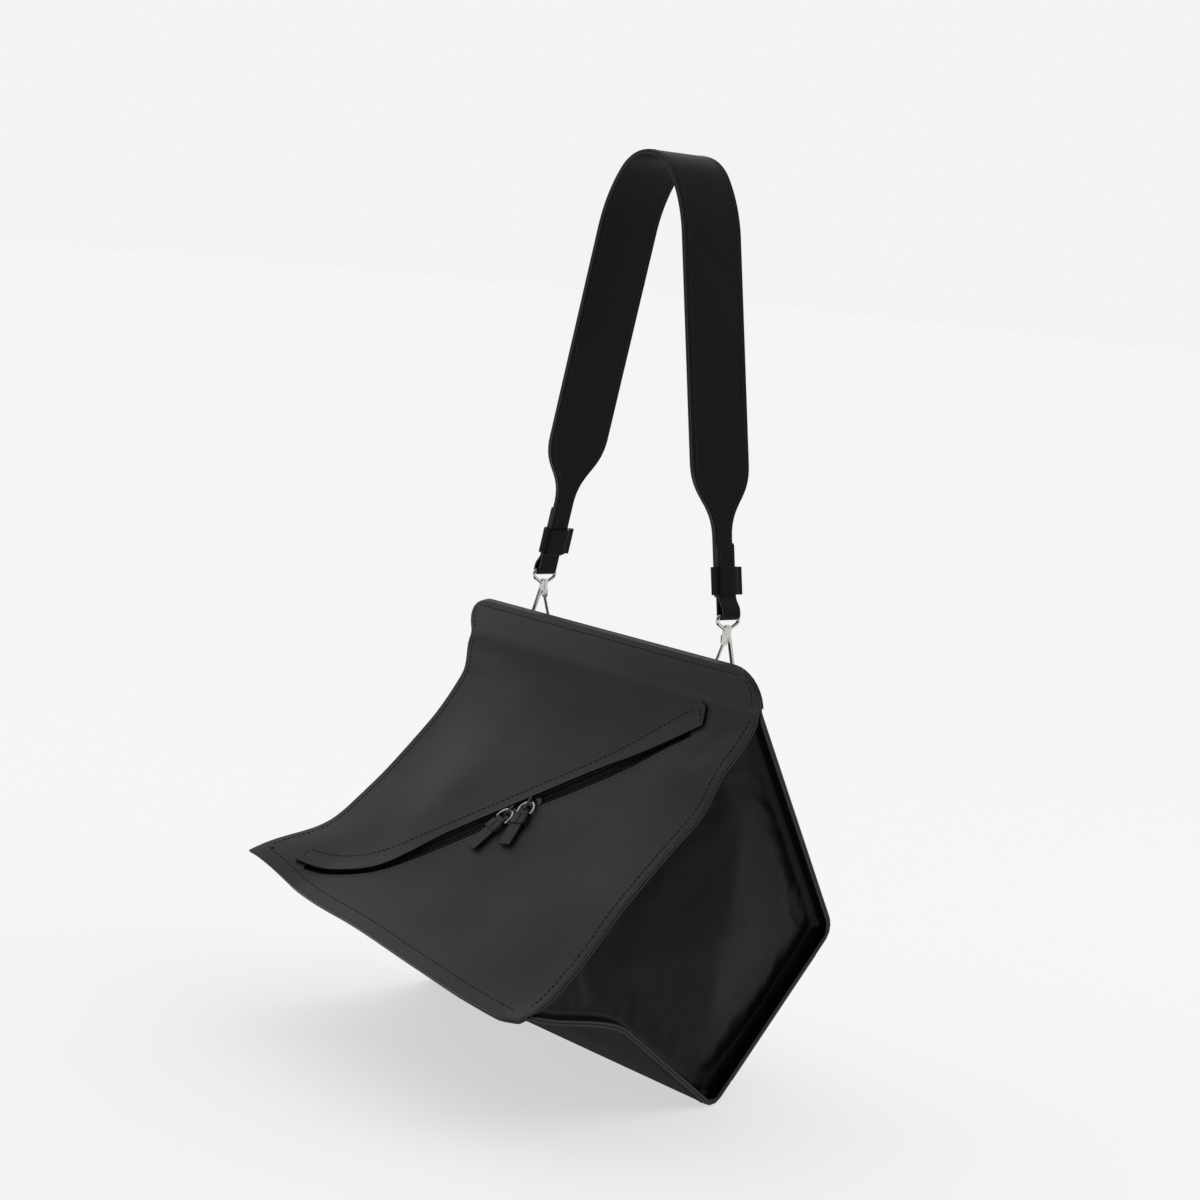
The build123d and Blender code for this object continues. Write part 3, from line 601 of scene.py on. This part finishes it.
def normals_of(place, x, v, height):
    """Outward normals of a laid surface, by finite differences."""
    x, v = np.asarray(x, float), np.asarray(v, float)
    rise = place(x, v, height + 1.0) - place(x, v, height)
    return rise / np.linalg.norm(rise, axis=1)[:, None]


def sewn(place, points, height):
    """A stitch run over a laid surface, from (u, v) points."""
    x, v = resample(points, 3.0).T
    return place(x, v, height), normals_of(place, x, v, height)


def with_round_corners(low_v, high_v, half, radius, at_low=True):
    """A rectangle's outline whose two corners at one end are round."""
    v, sign = (low_v, 1) if at_low else (high_v, -1)
    other = high_v if at_low else low_v
    turns = np.linspace(0, math.pi / 2, 9)
    right = [(half - radius + radius * math.sin(t), v + sign * radius * (1 - math.cos(t)))
             for t in turns]
    left = [(-x, y) for x, y in right[::-1]]
    return right + [(half, other), (-half, other)] + left


# ---- The zip's path on the front --------------------------------------------------------
LEFT_BEND, LEFT_RADIUS, RIGHT_BEND, RIGHT_RADIUS = -92.0, 220.0, 108.0, 420.0
ZIP_FROM, ZIP_TO, FLAP_FROM, FLAP_TO = -176.0, 162.0, -184.0, 172.0
MEET = 13.0


def zip_place(along, across):
    """Panel place of a point along the zip and down across it, as (x, distance down)."""
    along, across = np.asarray(along, float), np.asarray(across, float)
    inner = np.clip(along, LEFT_BEND, RIGHT_BEND)
    turn_left = (inner - along).clip(0) / LEFT_RADIUS
    turn_right = (along - inner).clip(0) / RIGHT_RADIUS
    angle = ZIP_ANGLE - turn_left - turn_right
    x = inner * math.cos(ZIP_ANGLE)
    s = ZIP_MIDDLE - inner * math.sin(ZIP_ANGLE)
    x = x - LEFT_RADIUS * (math.sin(ZIP_ANGLE) - np.sin(ZIP_ANGLE - turn_left))
    s = s + LEFT_RADIUS * (np.cos(ZIP_ANGLE - turn_left) - math.cos(ZIP_ANGLE))
    x = x + RIGHT_RADIUS * (math.sin(ZIP_ANGLE) - np.sin(ZIP_ANGLE - turn_right))
    s = s - RIGHT_RADIUS * (np.cos(ZIP_ANGLE - turn_right) - math.cos(ZIP_ANGLE))
    return np.column_stack([x + across * np.sin(angle), s + across * np.cos(angle)])


def place_zip(along, across, height):
    """A point in the zip's own coordinates, laid on the front panel."""
    flat = zip_place(along, across)
    return place_front(flat[:, 0], flat[:, 1], np.broadcast_to(height, (len(flat),)))


def flap_edge(along):
    """The flap's free edge, cut back in the middle to bare the sliders."""
    return 2.0 - 8.4 * (1 - smooth(58, 135, np.abs(np.asarray(along, float) - MEET)))


def lower_lip(along):
    """The slot's lower edge, a little narrower where the sliders meet."""
    return 6.2 - 1.4 * bell(along, MEET, 30)


# ---- Leather panels ---------------------------------------------------------------------
BASE_WRAP = 22.0
BASE_FROM, BASE_TO = HEEL_V + BASE_WRAP, RUMP_V - BASE_WRAP
runs = np.arange(ZIP_FROM, ZIP_TO + 1, 4.0)
slot = np.vstack([zip_place(runs, -5.6 + 0 * runs), zip_place(runs, lower_lip(runs))[::-1]])
front = slab("front_leather", with_round_corners(-COLLAR, CHORD + LIP, HALF, COLLAR_CORNER), [slot], 4.0,
             place_front, 0.0, LEATHER, BAG_LEATHER)
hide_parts("front_panel")
back = slab("back_leather", with_round_corners(BASE_TO, SHELL_END, HALF, COLLAR_CORNER, at_low=False), [],
            5.0, place_shell, 0.0, LEATHER, BAG_LEATHER)
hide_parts("back_panel")
# The underside is laid in the near-black leather that paints its shade.
under = slab("underside_leather", with_round_corners(0, BASE_FROM, HALF, 3), [], 5.0, place_shell,
             0.0, LEATHER, [underside_shade_hide, edge_paint])
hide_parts("underside_panel")
base = slab("base_leather", with_round_corners(BASE_FROM + GAP, BASE_TO - GAP, HALF, 1), [], 6.0,
            place_shell, 0.0, LEATHER, BAG_LEATHER)
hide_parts("base_panel")
band_outline = with_round_corners(SHELL_END - COLLAR + 3, SHELL_END, HALF, COLLAR_CORNER, at_low=False)
band = slab("collar_band", band_outline, [], 5.0, place_shell, SECOND_LOW, SECOND_TOP, BAG_LEATHER)
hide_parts("top_band")


def round_rect(low_u, low_v, high_u, high_v, radius):
    """A rectangle's outline with all its corners round."""
    low_u, low_v, high_u, high_v = low_u + radius, low_v + radius, high_u - radius, high_v - radius
    points = []
    for u, v, start in ((high_u, high_v, 0), (low_u, high_v, 90), (low_u, low_v, 180), (high_u, low_v, 270)):
        for turn in np.radians(start + 15.0 * np.arange(7)):
            points.append((u + radius * math.cos(turn), v + radius * math.sin(turn)))
    return points


PATCH = 7.0
PATCH_FROM, PATCH_TO = BASE_FROM + PATCH, BASE_TO - PATCH
patch = slab("base_patch_leather", round_rect(-HALF + PATCH, PATCH_FROM, HALF - PATCH, PATCH_TO, 8), [],
             6.0, place_shell, SECOND_LOW, SECOND_TOP, BAG_LEATHER)
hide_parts("base_patch")


# ---- Gussets: recessed dishes sewn inside the panels ------------------------------------
GUSSET_SWELL = 8.5


def gusset(side):
    """A dish: rim against the panels, wall going in, soft plate across."""
    name = "right" if side > 0 else "left"
    edge = side * HALF
    s = np.arange(2, CHORD - 1, 3.0)
    v = np.arange(NOSE_V + 3, APEX_V - 2, 3.0)
    front_rim = place_front(edge + 0 * s, s, -GAP + 0 * s)
    front_in = -normals_of(place_front, edge + 0 * s, s, 0 * s)
    shell_rim = place_shell(edge + 0 * v, v, -GAP + 0 * v)
    shell_in = -normals_of(place_shell, edge + 0 * v, v, 0 * v)
    rim = np.vstack([front_rim, shell_rim])
    inward = np.vstack([front_in, shell_in])
    for _ in range(2):
        inward = (np.roll(inward, 1, 0) + 2 * inward + np.roll(inward, -1, 0)) / 4
    inward[:, 0] = 0
    inward /= np.linalg.norm(inward, axis=1)[:, None]
    # The rings draw together where front and shell meet at a sharp angle.
    wedge = np.minimum(np.linalg.norm(rim - rim[0], axis=1) * 0.42,
                       np.linalg.norm(rim - front_rim[-1], axis=1) * 0.36)
    # The rim's rolled edge and the wall behind it: how far in from the panels, how deep.
    profile = [(0.0, 0.2), (1.0, -0.1), (2.0, 0.2), (2.3, 1.2), (2.4, 4.0), (2.8, 7.5), (4.0, 9.8),
               (6.4, 11.3), (9.5, 11.9)]
    rings = []
    for offset, depth in profile:
        ring = rim + inward * np.minimum(offset, wedge)[:, None]
        ring[:, 0] = rim[:, 0] - side * depth
        rings.append(ring)
    inner = rings[-1]
    flat, tris = cut(inner[:, 1:], [], 5.0)
    gaps = np.hypot(flat[:, None, 0] - inner[None, :, 1], flat[:, None, 1] - inner[None, :, 2])
    near, away = gaps.argmin(axis=1), gaps.min(axis=1)
    share = smooth(0, 70, away)
    swell = GUSSET_SWELL * smooth(3, 95, away) + 1.2 * np.sin(flat[:, 0] / 33 + flat[:, 1] / 57) * share
    x = inner[near, 0] * (1 - share) + side * (HALF - RECESS) * share + side * swell
    plate = np.column_stack([x, flat])
    size = len(rim)
    verts = np.vstack(rings + [plate])
    faces, indices = [], []
    for k in range(len(rings) - 1):
        for j in range(size):
            a, b = k * size + j, k * size + (j + 1) % size
            faces.append((a, b, b + size, a + size))
            indices.append(1 if k < 2 else 0)
    start = len(rings) * size
    faces += [tuple(t + start) for t in tris]
    indices += [0] * len(tris)
    # The gusset dishes are laid in the near-black leather that paints their shade.
    obj = new_mesh(f"gusset_{name}_leather", verts, faces, [gusset_shade_hide, edge_paint], indices)
    fix_normals(obj, join=0.05)
    settle(obj, np.vstack(rings[:-1]), grow=0.006, pressure=1.0, most=4.0)
    thicken = obj.modifiers.new("Thickness", "SOLIDIFY")
    thicken.thickness = TRIM * MM
    thicken.offset = -1
    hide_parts(f"gusset_{name}")


gusset(-1)
gusset(1)

# ---- Zip --------------------------------------------------------------------------------
flap_runs = np.arange(FLAP_FROM, FLAP_TO + 1, 4.0)
FLAP_TOP = -18.5


def flap_place(along, across, height):
    """The flap lies on the panel at its sewn edge and stands a little proud at its free one."""
    free = smooth(-12, 2, np.asarray(across, float))
    lift = 1.1 * free * (0.4 + 0.6 * bell(along, MEET, 60))
    return place_zip(along, across, height + lift)


flap_outline = (
    [(a, FLAP_TOP) for a in flap_runs]
    + [(FLAP_TO + 4, FLAP_TOP + 6)]
    + [(a, flap_edge(a)) for a in flap_runs[::-1]]
)
flap = slab("zip_flap_leather", flap_outline, [], 3.5, flap_place, SECOND_LOW, SECOND_TOP, BAG_LEATHER)
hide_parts("zip_flap")
for node, low, high in (("zip_tape_upper", -9.5, -2.6), ("zip_tape_lower", 2.6, 9.5)):
    ends = (ZIP_FROM - 4, ZIP_TO + 4)
    outline = [(ends[0], low), (ends[1], low), (ends[1], high), (ends[0], high)]
    piece = slab(node + "_cloth", outline, [], 4.0, place_zip, -0.9, -0.2, [tape], bevel=0)
    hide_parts(node)


TOOTH_PITCH = 2.2


def teeth(name, side):
    """A row of moulded teeth, each a small rounded block gripping the tape's edge."""
    verts, faces = [], []
    shape = [(-0.55, -1.2), (0.55, -1.2), (0.55, 0.3), (0.2, 0.55), (-0.2, 0.55), (-0.55, 0.3)]
    rings = ((0.5, 0.7), (0.8, 0.95), (2.6, 0.95), (3.0, 0.6))
    for along in np.arange(ZIP_FROM + 5, ZIP_TO - 5, TOOTH_PITCH):
        place = along + 0.55 * side
        start = len(verts)
        for across, shrink in rings:
            us = np.array([place + p[0] * shrink for p in shape])
            hs = np.array([p[1] * (0.6 + 0.4 * shrink) for p in shape])
            verts += list(place_zip(us, side * across + 0 * us, hs))
        faces += tube(start, len(rings), len(shape))
    obj = new_mesh(name + "_row", verts, faces, [tooth_black])
    fix_normals(obj)
    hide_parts(name)


teeth("zip_teeth_upper", -1)
teeth("zip_teeth_lower", 1)

# ---- Strap ------------------------------------------------------------------------------
EYE = joint_place("eye_right_swing")
ARM = math.radians(11.5)
SHOULDER_RADIUS, SHOULDER_TURN = 110.0, math.radians(25)
LAYER, LOOP = 1.8, 3.8
TONGUE, WIDE = 8.75, 29.0
TAPER_LOW, TAPER_HIGH = -278.0, -223.0
WIDE_INSET, TONGUE_INSET = 3.6, 2.6
LINING_FACE = -LOOP - GAP - LAYER
JOIN, RETURN = 14.0, 54.0
CROWN_TURN = math.pi / 2 - ARM - SHOULDER_TURN


def arm_point(out, up):
    """A point beside the right arm, outwards and up along it from the eye's bar."""
    return np.array([EYE[0] + out * math.cos(ARM) - up * math.sin(ARM),
                     EYE[2] + out * math.sin(ARM) + up * math.cos(ARM)])


def crown_radius():
    """The crown's radius that brings crown, shoulder and straight arm together without a kink."""
    sin_turn, cos_turn, sin_arm, cos_arm = (
        f(angle) for angle in (CROWN_TURN, ARM) for f in (math.sin, math.cos))
    foot = arm_point(LINING_FACE, 0)
    reach = (cos_arm - sin_turn) * cos_arm - (cos_turn - sin_arm) * sin_arm
    top = foot[0] * cos_arm + foot[1] * sin_arm - SHOULDER_RADIUS * reach
    return top / (sin_turn * cos_arm - (1 - cos_turn) * sin_arm)


CROWN = crown_radius()


def strap_run(height, foot):
    """The right half of a layer's underside, from the crown to the foot, as (x, z)."""
    crown = [((CROWN + height) * math.sin(t), (CROWN + height) * math.cos(t) - CROWN)
             for t in np.linspace(0, CROWN_TURN, 24)]
    radius = SHOULDER_RADIUS + height
    centre = np.array(crown[-1]) - radius * np.array([math.sin(CROWN_TURN), math.cos(CROWN_TURN)])
    shoulder = [tuple(centre + radius * np.array([math.sin(t), math.cos(t)]))
                for t in np.linspace(CROWN_TURN, CROWN_TURN + SHOULDER_TURN, 16)[1:]]
    line = [shoulder[-1] + (np.array(foot) - shoulder[-1]) * t for t in np.linspace(0, 1, 60)[1:]]
    return np.array(crown + shoulder + [tuple(p) for p in line])


def strap_half_width(z):
    """Wide down to the taper, then narrowing in an S-curve to the tongue."""
    t = np.linspace(0, 1, 40)
    middle = (TAPER_LOW + TAPER_HIGH) / 2
    width = WIDE * (1 - t) ** 2 * (1 + 2 * t) + TONGUE * t**2 * (3 - 2 * t)
    height = TAPER_HIGH * (1 - t) ** 3 + 3 * middle * t * (1 - t) + TAPER_LOW * t**3
    return np.interp(z, height[::-1], width[::-1])


def soften_line(points, rounds):
    """Evens out a line's corners, leaving its two ends where they are."""
    points = np.array(points, float)
    for _ in range(rounds):
        points[1:-1] = (points[:-2] + 2 * points[1:-1] + points[2:]) / 4
    return points


def left_normals(line):
    """Normals to the left of a line of (x, z) points, as directions in space."""
    tangent = tangents(line)
    return np.column_stack([-tangent[:, 1], np.zeros(len(line)), tangent[:, 0]])


def in_space(line):
    """A line of (x, z) points laid in the strap's middle plane."""
    return np.column_stack([line[:, 0], np.zeros(len(line)), line[:, 1]])


def mirrored(line):
    """The whole strap's line from the right half's, left end first."""
    return np.vstack([line[:0:-1] * (-1, 1), line])


def outer_line():
    """The outer layer's right half, down the arm, round the eye and back up as a sewn tab."""
    main = strap_run(LAYER + GAP, arm_point(-LOOP, 6))
    around = [arm_point(LOOP * math.cos(t) * (1.0 + 0.35 * math.sin(2 * (t - math.pi)) ** 2),
                        LOOP * math.sin(t))
              for t in np.linspace(math.pi, 2 * math.pi, 16)]
    back_up = [arm_point(*p) for p in ((LOOP + 0.5, 3.5), (LOOP - 0.6, 7), (1.2, 10), (-0.03, 12.4),
                                       (-GAP / 3, 14))]
    tab = [arm_point(-GAP / 3, u) for u in np.linspace(16, RETURN, 14)]
    line = resample(np.vstack([main[:-1], around, back_up, tab]), 1.5)
    return soften_line(line, rounds=3)


line = mirrored(outer_line())
widths = strap_half_width(line[:, 1])
run = distances(line)
from_end = np.minimum(run, run[-1] - run)
widths = np.where(from_end < RETURN + 22, TONGUE, widths)
# The last 1.5 mm of each tab is trimmed narrower.
widths = widths - 1.2 * (1 - np.clip(from_end / 1.5, 0, 1))
SIDE = (0, 1, 0)
strap_top = strip("strap_outer_leather", in_space(line), left_normals(line), SIDE, widths, LAYER,
                  STRAP_LEATHER, "strap", columns=14)
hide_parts("strap_outer")
lining_line = mirrored(resample(strap_run(0, arm_point(LINING_FACE, JOIN)), 2.0))
lining = strip("strap_lining_leather", in_space(lining_line), left_normals(lining_line), SIDE,
               strap_half_width(lining_line[:, 1]), LAYER, STRAP_LEATHER, "strap", columns=14)
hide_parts("strap_lining")


def strap_stitches():
    """Sewn lines near both edges of the strap, outside and in, and round the return tabs."""
    lines = []
    top = left_normals(line)
    body_part = from_end > RETURN + 26
    for sign in (1, -1):
        offset = sign * (widths - WIDE_INSET)
        face = in_space(line) + top * (LAYER + 0.02) + np.outer(offset, SIDE)
        lines.append((face[body_part], top[body_part]))
        for part in (run < RETURN - 12, run > run[-1] - RETURN + 12):
            low = in_space(line) - top * 0.02 + sign * (TONGUE - TONGUE_INSET) * np.array(SIDE)
            lines.append((low[part], -top[part]))
        normal = left_normals(lining_line)
        face = in_space(lining_line) - normal * 0.02 + np.outer(
            sign * (strap_half_width(lining_line[:, 1]) - WIDE_INSET), SIDE)
        lines.append((face, -normal))
    for side in (1, -1):
        spot = arm_point(-GAP / 3, RETURN - TONGUE_INSET)
        across = np.linspace(-TONGUE + TONGUE_INSET, TONGUE - TONGUE_INSET, 8)
        points = np.column_stack([side * spot[0] + 0 * across, across, spot[1] + 0 * across])
        normal = np.tile([side * math.cos(ARM), 0, math.sin(ARM)], (8, 1))
        lines.append((points + normal * 0.02, normal))
    stitches("strap_stitching", lines, strap_thread, "strap")


strap_stitches()


def keeper(side):
    """A leather band round the folded strap end, its two ends sewn together as a fin."""
    name = "right" if side > 0 else "left"
    foot = arm_point(LINING_FACE / 2, 15.4)
    depth, width, wall, fin = -LINING_FACE / 2 + 0.15, TONGUE + 0.2, TRIM, 6.5
    outer_d, outer_w = depth + wall, width + wall
    fin_tip = outer_w + fin
    one_side = [(wall - 0.6, fin_tip), (wall, fin_tip - 0.6), (wall, outer_w + 1.6),
                (wall + 0.3, outer_w + 0.5), (outer_d - 0.9, outer_w - 0.3), (outer_d, outer_w - 1.7),
                (outer_d, -outer_w + 1.6), (outer_d - 0.5, -outer_w + 0.5), (outer_d - 1.6, -outer_w)]
    turned = [(-u, v) for u, v in one_side[::-1]]
    shape = turned[3:] + one_side + turned[:3]
    hole = [(-depth, -width), (depth, -width), (depth, width), (-depth, width)]

    def place(u, v, height):
        height = np.broadcast_to(height, np.shape(u))
        x = foot[0] + u * math.cos(ARM) - height * math.sin(ARM)
        z = foot[1] + u * math.sin(ARM) + height * math.cos(ARM)
        return np.column_stack([side * x, v, z])

    obj = slab(f"keeper_{name}_leather", shape, [hole], 4.0, place, 0.0, 21.0, [edge_paint, strap_hide],
               f"keeper_{name}", bevel=0.35)
    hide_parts(f"strap_keeper_{name}")
    heights = np.linspace(1.5, 19.5, 8)
    lines = []
    for face in (1, -1):
        points = place(face * (wall + 0.02) + 0 * heights, outer_w + TONGUE_INSET + 0 * heights, heights)
        normal = np.tile([side * face * math.cos(ARM), 0, face * math.sin(ARM)], (8, 1))
        lines.append((points, normal))
    stitches(f"keeper_{name}_stitching", lines, strap_thread, f"keeper_{name}")


keeper(1)
keeper(-1)


# ---- D-ring tabs ------------------------------------------------------------------------
def ring_tab(side):
    """A strap end folded round the D-ring's bar and sewn to the back."""
    name = "right" if side > 0 else "left"
    bar = joint_place(f"d_ring_{name}_turn")
    down = np.array(RUMP) / math.hypot(*RUMP)
    out = np.array([-down[1], down[0]])

    def on_back(lift, along):
        return np.array([APEX[1], APEX[2]]) + down * along + out * lift

    layer = 1.5
    level = SECOND_LOW + layer
    centre = bar[1:]
    toward = on_back(level, 12) - centre
    angle = math.atan2(toward[1], toward[0])
    loop = [centre + 1.45 * np.array([math.cos(t), math.sin(t)])
            for t in np.linspace(angle + math.radians(75), angle + math.radians(285), 18)]
    run_in = [on_back(level + 0.05, a) for a in (34, 28, 22, 16, 12)]
    run_out = [on_back(level + 0.1, a) for a in (12, 16, 22, 28, 34)]
    path = soften_line(resample(np.array(run_in + loop + run_out), 0.8), rounds=1)
    tangent = tangents(path)
    normal = np.column_stack([0 * path[:, 0], tangent[:, 1], -tangent[:, 0]])
    points = np.column_stack([np.full(len(path), bar[0]), path])
    obj = strip(f"ring_tab_{name}_leather", points, normal, (1, 0, 0), 6.2, layer, BAG_LEATHER, "bag",
                columns=6)
    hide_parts(f"ring_tab_{name}")
    face = np.array([on_back(level + 0.1 + layer, a) for a in np.linspace(14, 31, 8)])
    up = np.tile([0, *out], (8, 1))
    lines = [(np.column_stack([np.full(8, bar[0] + x), face]), up) for x in (-4, 4)]
    across = np.linspace(-4, 4, 5)
    end = on_back(level + 0.1 + layer, 31.5)
    lines.append((np.array([(bar[0] + x, *end) for x in across]), up[:5]))
    stitches(f"ring_tab_{name}_stitching", lines, thread)


ring_tab(1)
ring_tab(-1)


# ---- Zip pulls --------------------------------------------------------------------------
def pull(side):
    """A leather strip folded through the pull ring, held by a slit band."""
    name = "right" if side > 0 else "left"
    origin = joint_place(f"pull_tab_{name}_turn")
    across = -np.array(JOINTS[f"pull_tab_{name}_turn"]["axis"])
    outward = -INWARD
    hang = np.cross(across, outward)
    layer, length, wire = 1.12, 31.0, 1.0

    def place(down, height, sideways=0.0):
        return (origin + np.outer(down, hang) + np.outer(height, outward)
                + np.outer(np.broadcast_to(sideways, np.shape(down)), across))

    turn = np.linspace(math.radians(60), math.radians(300), 18)
    line = ([(length - 0.4, -0.06)] + [(d, -0.06) for d in (26, 20, 14, 8, 5, 3.2)]
            + [(math.cos(t) * wire, -math.sin(t) * wire) for t in turn]
            + [(d, 0.06) for d in (3.2, 5, 8, 14, 20, 26)] + [(length, 0.06)])
    line = soften_line(resample(np.array(line), 0.7), rounds=1)
    tangent = tangents(line)
    path = place(line[:, 0], line[:, 1])
    normals = np.outer(-tangent[:, 1], hang) + np.outer(tangent[:, 0], outward)
    obj = strip(f"pull_tab_{name}_leather", path, normals, across, 5.45, layer, BAG_LEATHER,
                f"pull_tab_{name}", columns=6, bevel=0.25)
    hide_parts(f"pull_tab_{name}")
    inner_w, inner_h, wall_w, wall_h, slit = 5.65, 1.3, 1.3, 0.75, 0.35
    w, h = inner_w + wall_w, inner_h + wall_h
    outside = [(slit, h), (w - 0.7, h), (w, h - 0.7), (w, -h + 0.5), (w - 0.5, -h)]
    within = [(inner_w, -inner_h), (inner_w, inner_h), (slit, inner_h)]
    shape = (outside + [(-u, v) for u, v in outside[::-1]] + [(-u, v) for u, v in within[::-1]] + within)

    def place_band(u, v, height):
        return place(np.broadcast_to(height, np.shape(u)) + 2.6, v, u)

    band_obj = slab(f"pull_band_{name}_leather", shape, [], 3.0, place_band, 0.0, 8.5, [edge_paint, hide],
                    f"pull_tab_{name}", bevel=0.2)
    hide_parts(f"pull_band_{name}")


pull(1)
pull(-1)

# ---- Stitching on the bag ---------------------------------------------------------------
INSET = 6.0
SEAM_ENDS = HALF - 14
front_lines = []
for sign in (1, -1):
    edge = sign * (HALF - INSET)
    turned_in = [(edge - sign * 6, -COLLAR + 6), (edge, -COLLAR + 14), (edge, -3)]
    front_lines.append(sewn(place_front, [(edge, 4), (edge, CHORD - INSET)], LEATHER))
    front_lines.append(sewn(place_front, turned_in, LEATHER))
front_lines.append(sewn(place_front, [(-HALF + 12, CHORD - 3), (HALF - 12, CHORD - 3)], LEATHER))
front_lines.append(sewn(place_front, [(-SEAM_ENDS, -COLLAR + 5), (SEAM_ENDS, -COLLAR + 5)], LEATHER))
low_runs = np.arange(ZIP_FROM - 3, ZIP_TO + 5, 4.0)
low_line = zip_place(low_runs, lower_lip(low_runs) + 3.2)
front_lines.append(sewn(place_front, low_line, LEATHER - 0.25))
stitches("front_stitching", front_lines, thread)


def flap_line(points):
    """A stitch run over the flap, from (along, across) points."""
    along, across = points.T
    face = flap_place(along, across, SECOND_TOP)
    return face, (face - flap_place(along, across, SECOND_LOW)) / TRIM


long_runs = np.arange(FLAP_FROM + 3, FLAP_TO - 1, 4.0)
flap_lines = [flap_line(resample(np.column_stack([long_runs, 0 * long_runs + FLAP_TOP + 3.0]), 3.0))]
for end in (FLAP_FROM + 3, FLAP_TO - 1):
    heights = np.linspace(FLAP_TOP + 3, flap_edge(end) - 2.5, 7)
    flap_lines.append(flap_line(np.column_stack([np.full(7, end), heights])))
stitches("flap_stitching", flap_lines, thread)
shell_lines = []
for edge in (HALF - INSET, INSET - HALF):
    for low_v, high_v in ((NOSE_V + 4, BASE_FROM - 3), (BASE_TO + 3, APEX_V - 2)):
        shell_lines.append(sewn(place_shell, [(edge, low_v), (edge, high_v)], LEATHER))
for v, half, level in (
    (NOSE_V - 3, SEAM_ENDS, LEATHER),
    (BASE_FROM - 3, HALF - INSET, LEATHER),
    (BASE_TO + 3, HALF - INSET, LEATHER),
    (SHELL_END - 5, SEAM_ENDS, SECOND_TOP),
    (SHELL_END - COLLAR + 6, SEAM_ENDS, SECOND_TOP),
):
    shell_lines.append(sewn(place_shell, [(-half, v), (half, v)], level))
patch_line = round_rect(-HALF + PATCH + 4, PATCH_FROM + 4, HALF - PATCH - 4, PATCH_TO - 4, 6)
shell_lines.append(sewn(place_shell, patch_line + patch_line[:1], SECOND_TOP))
stitches("shell_stitching", shell_lines, thread)

# ---- Camera, light and stage ------------------------------------------------------------
FLOOR_GREY, FLOOR_GLOW, FLOOR_REACH, FLOOR_DROP = 0.55, 0.6, 30.0, 0.001


def place_camera():
    """Stands in front of the bag, to its right and above its collar."""
    camera = bpy.data.objects.new("camera", bpy.data.cameras.new("camera"))
    camera.data.sensor_width = 36
    camera.data.lens = 75
    right = Vector((0.6484, 0.7551, 0.0971))
    down = Vector((0.1667, -0.0165, -0.9859))
    ahead = Vector((-0.7428, 0.6555, -0.1366))
    turn = Matrix((right, -down, -ahead)).transposed().to_4x4()
    camera.matrix_world = Matrix.Translation((1.4255, -1.2911, -0.0774)) @ turn
    camera.data.clip_end = 100
    bpy.context.scene.collection.objects.link(camera)
    bpy.context.scene.camera = camera


def area(name, place, size, power, aim=(0, -0.05, -0.45)):
    """A rectangular lamp that faces the bag's middle."""
    light = bpy.data.objects.new(name, bpy.data.lights.new(name, "AREA"))
    light.data.energy = power
    light.data.shape = "RECTANGLE"
    light.data.size, light.data.size_y = size
    light.location = place
    light.rotation_euler = (Vector(aim) - Vector(place)).to_track_quat("-Z", "Y").to_euler()
    bpy.context.scene.collection.objects.link(light)


def lay_floor():
    """A wide pale floor that glows, so that it ends in the same tone as the studio round it."""
    mesh = bpy.data.meshes.new("floor")
    z = cad_low[2] - FLOOR_DROP
    corners = [(x * FLOOR_REACH, y * FLOOR_REACH, z) for x, y in ((-1, -1), (1, -1), (1, 1), (-1, 1))]
    mesh.from_pydata(corners, [], [(0, 1, 2, 3)])
    floor = bpy.data.objects.new("floor", mesh)
    bpy.context.scene.collection.objects.link(floor)
    material, _, bsdf = shader("pale_floor")
    bsdf.inputs["Base Color"].default_value = (FLOOR_GREY, FLOOR_GREY, FLOOR_GREY, 1)
    bsdf.inputs["Emission Color"].default_value = (1, 1, 1, 1)
    bsdf.inputs["Emission Strength"].default_value = FLOOR_GLOW
    bsdf.inputs["Roughness"].default_value = 0.9
    bsdf.inputs["Specular IOR Level"].default_value = 0.1
    mesh.materials.append(material)
    floor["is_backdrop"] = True


def studio_world(bright, dim, towards):
    """An even pale studio that falls off towards the open side of the room."""
    world = bpy.data.worlds.new("studio")
    world.use_nodes = True
    tree = world.node_tree
    back = tree.nodes["Background"]
    coords = tree.nodes.new("ShaderNodeTexCoord")
    facing = tree.nodes.new("ShaderNodeVectorMath")
    facing.operation = "DOT_PRODUCT"
    facing.inputs[1].default_value = towards
    tree.links.new(coords.outputs["Generated"], facing.inputs[0])
    level = add_ramp(tree, facing.outputs["Value"], bright, dim, (-0.5, 0.75))
    tree.links.new(level, back.inputs["Color"])
    back.inputs["Strength"].default_value = 1.0
    bpy.context.scene.world = world


place_camera()
lay_floor()
studio_world(bright=0.9, dim=0.03, towards=(0.6, -0.8, 0.0))
bpy.context.scene.view_settings.view_transform = "Standard"
area("key", (-1.5, -1.3, 1.9), (1.4, 1.4), 3)
area("rim", (1.6, 1.9, 0.9), (0.8, 1.6), 3)

SIDES = ("left", "right")
NICKEL_PARTS = ("swivel_eye", "hook_body", "gate", "gate_pin", "d_ring", "pull_ring")
for material, nodes in (
    (nickel, [f"{part}_{side}" for side in SIDES for part in NICKEL_PARTS]),
    (black_metal, [f"zip_slider_{side}" for side in SIDES] + ["zip_end_stops"]),
    (board, ["base_stiffener"]),
):
    for node in nodes:
        for place in frame["nodes"][node].material_slots:
            place.material = material
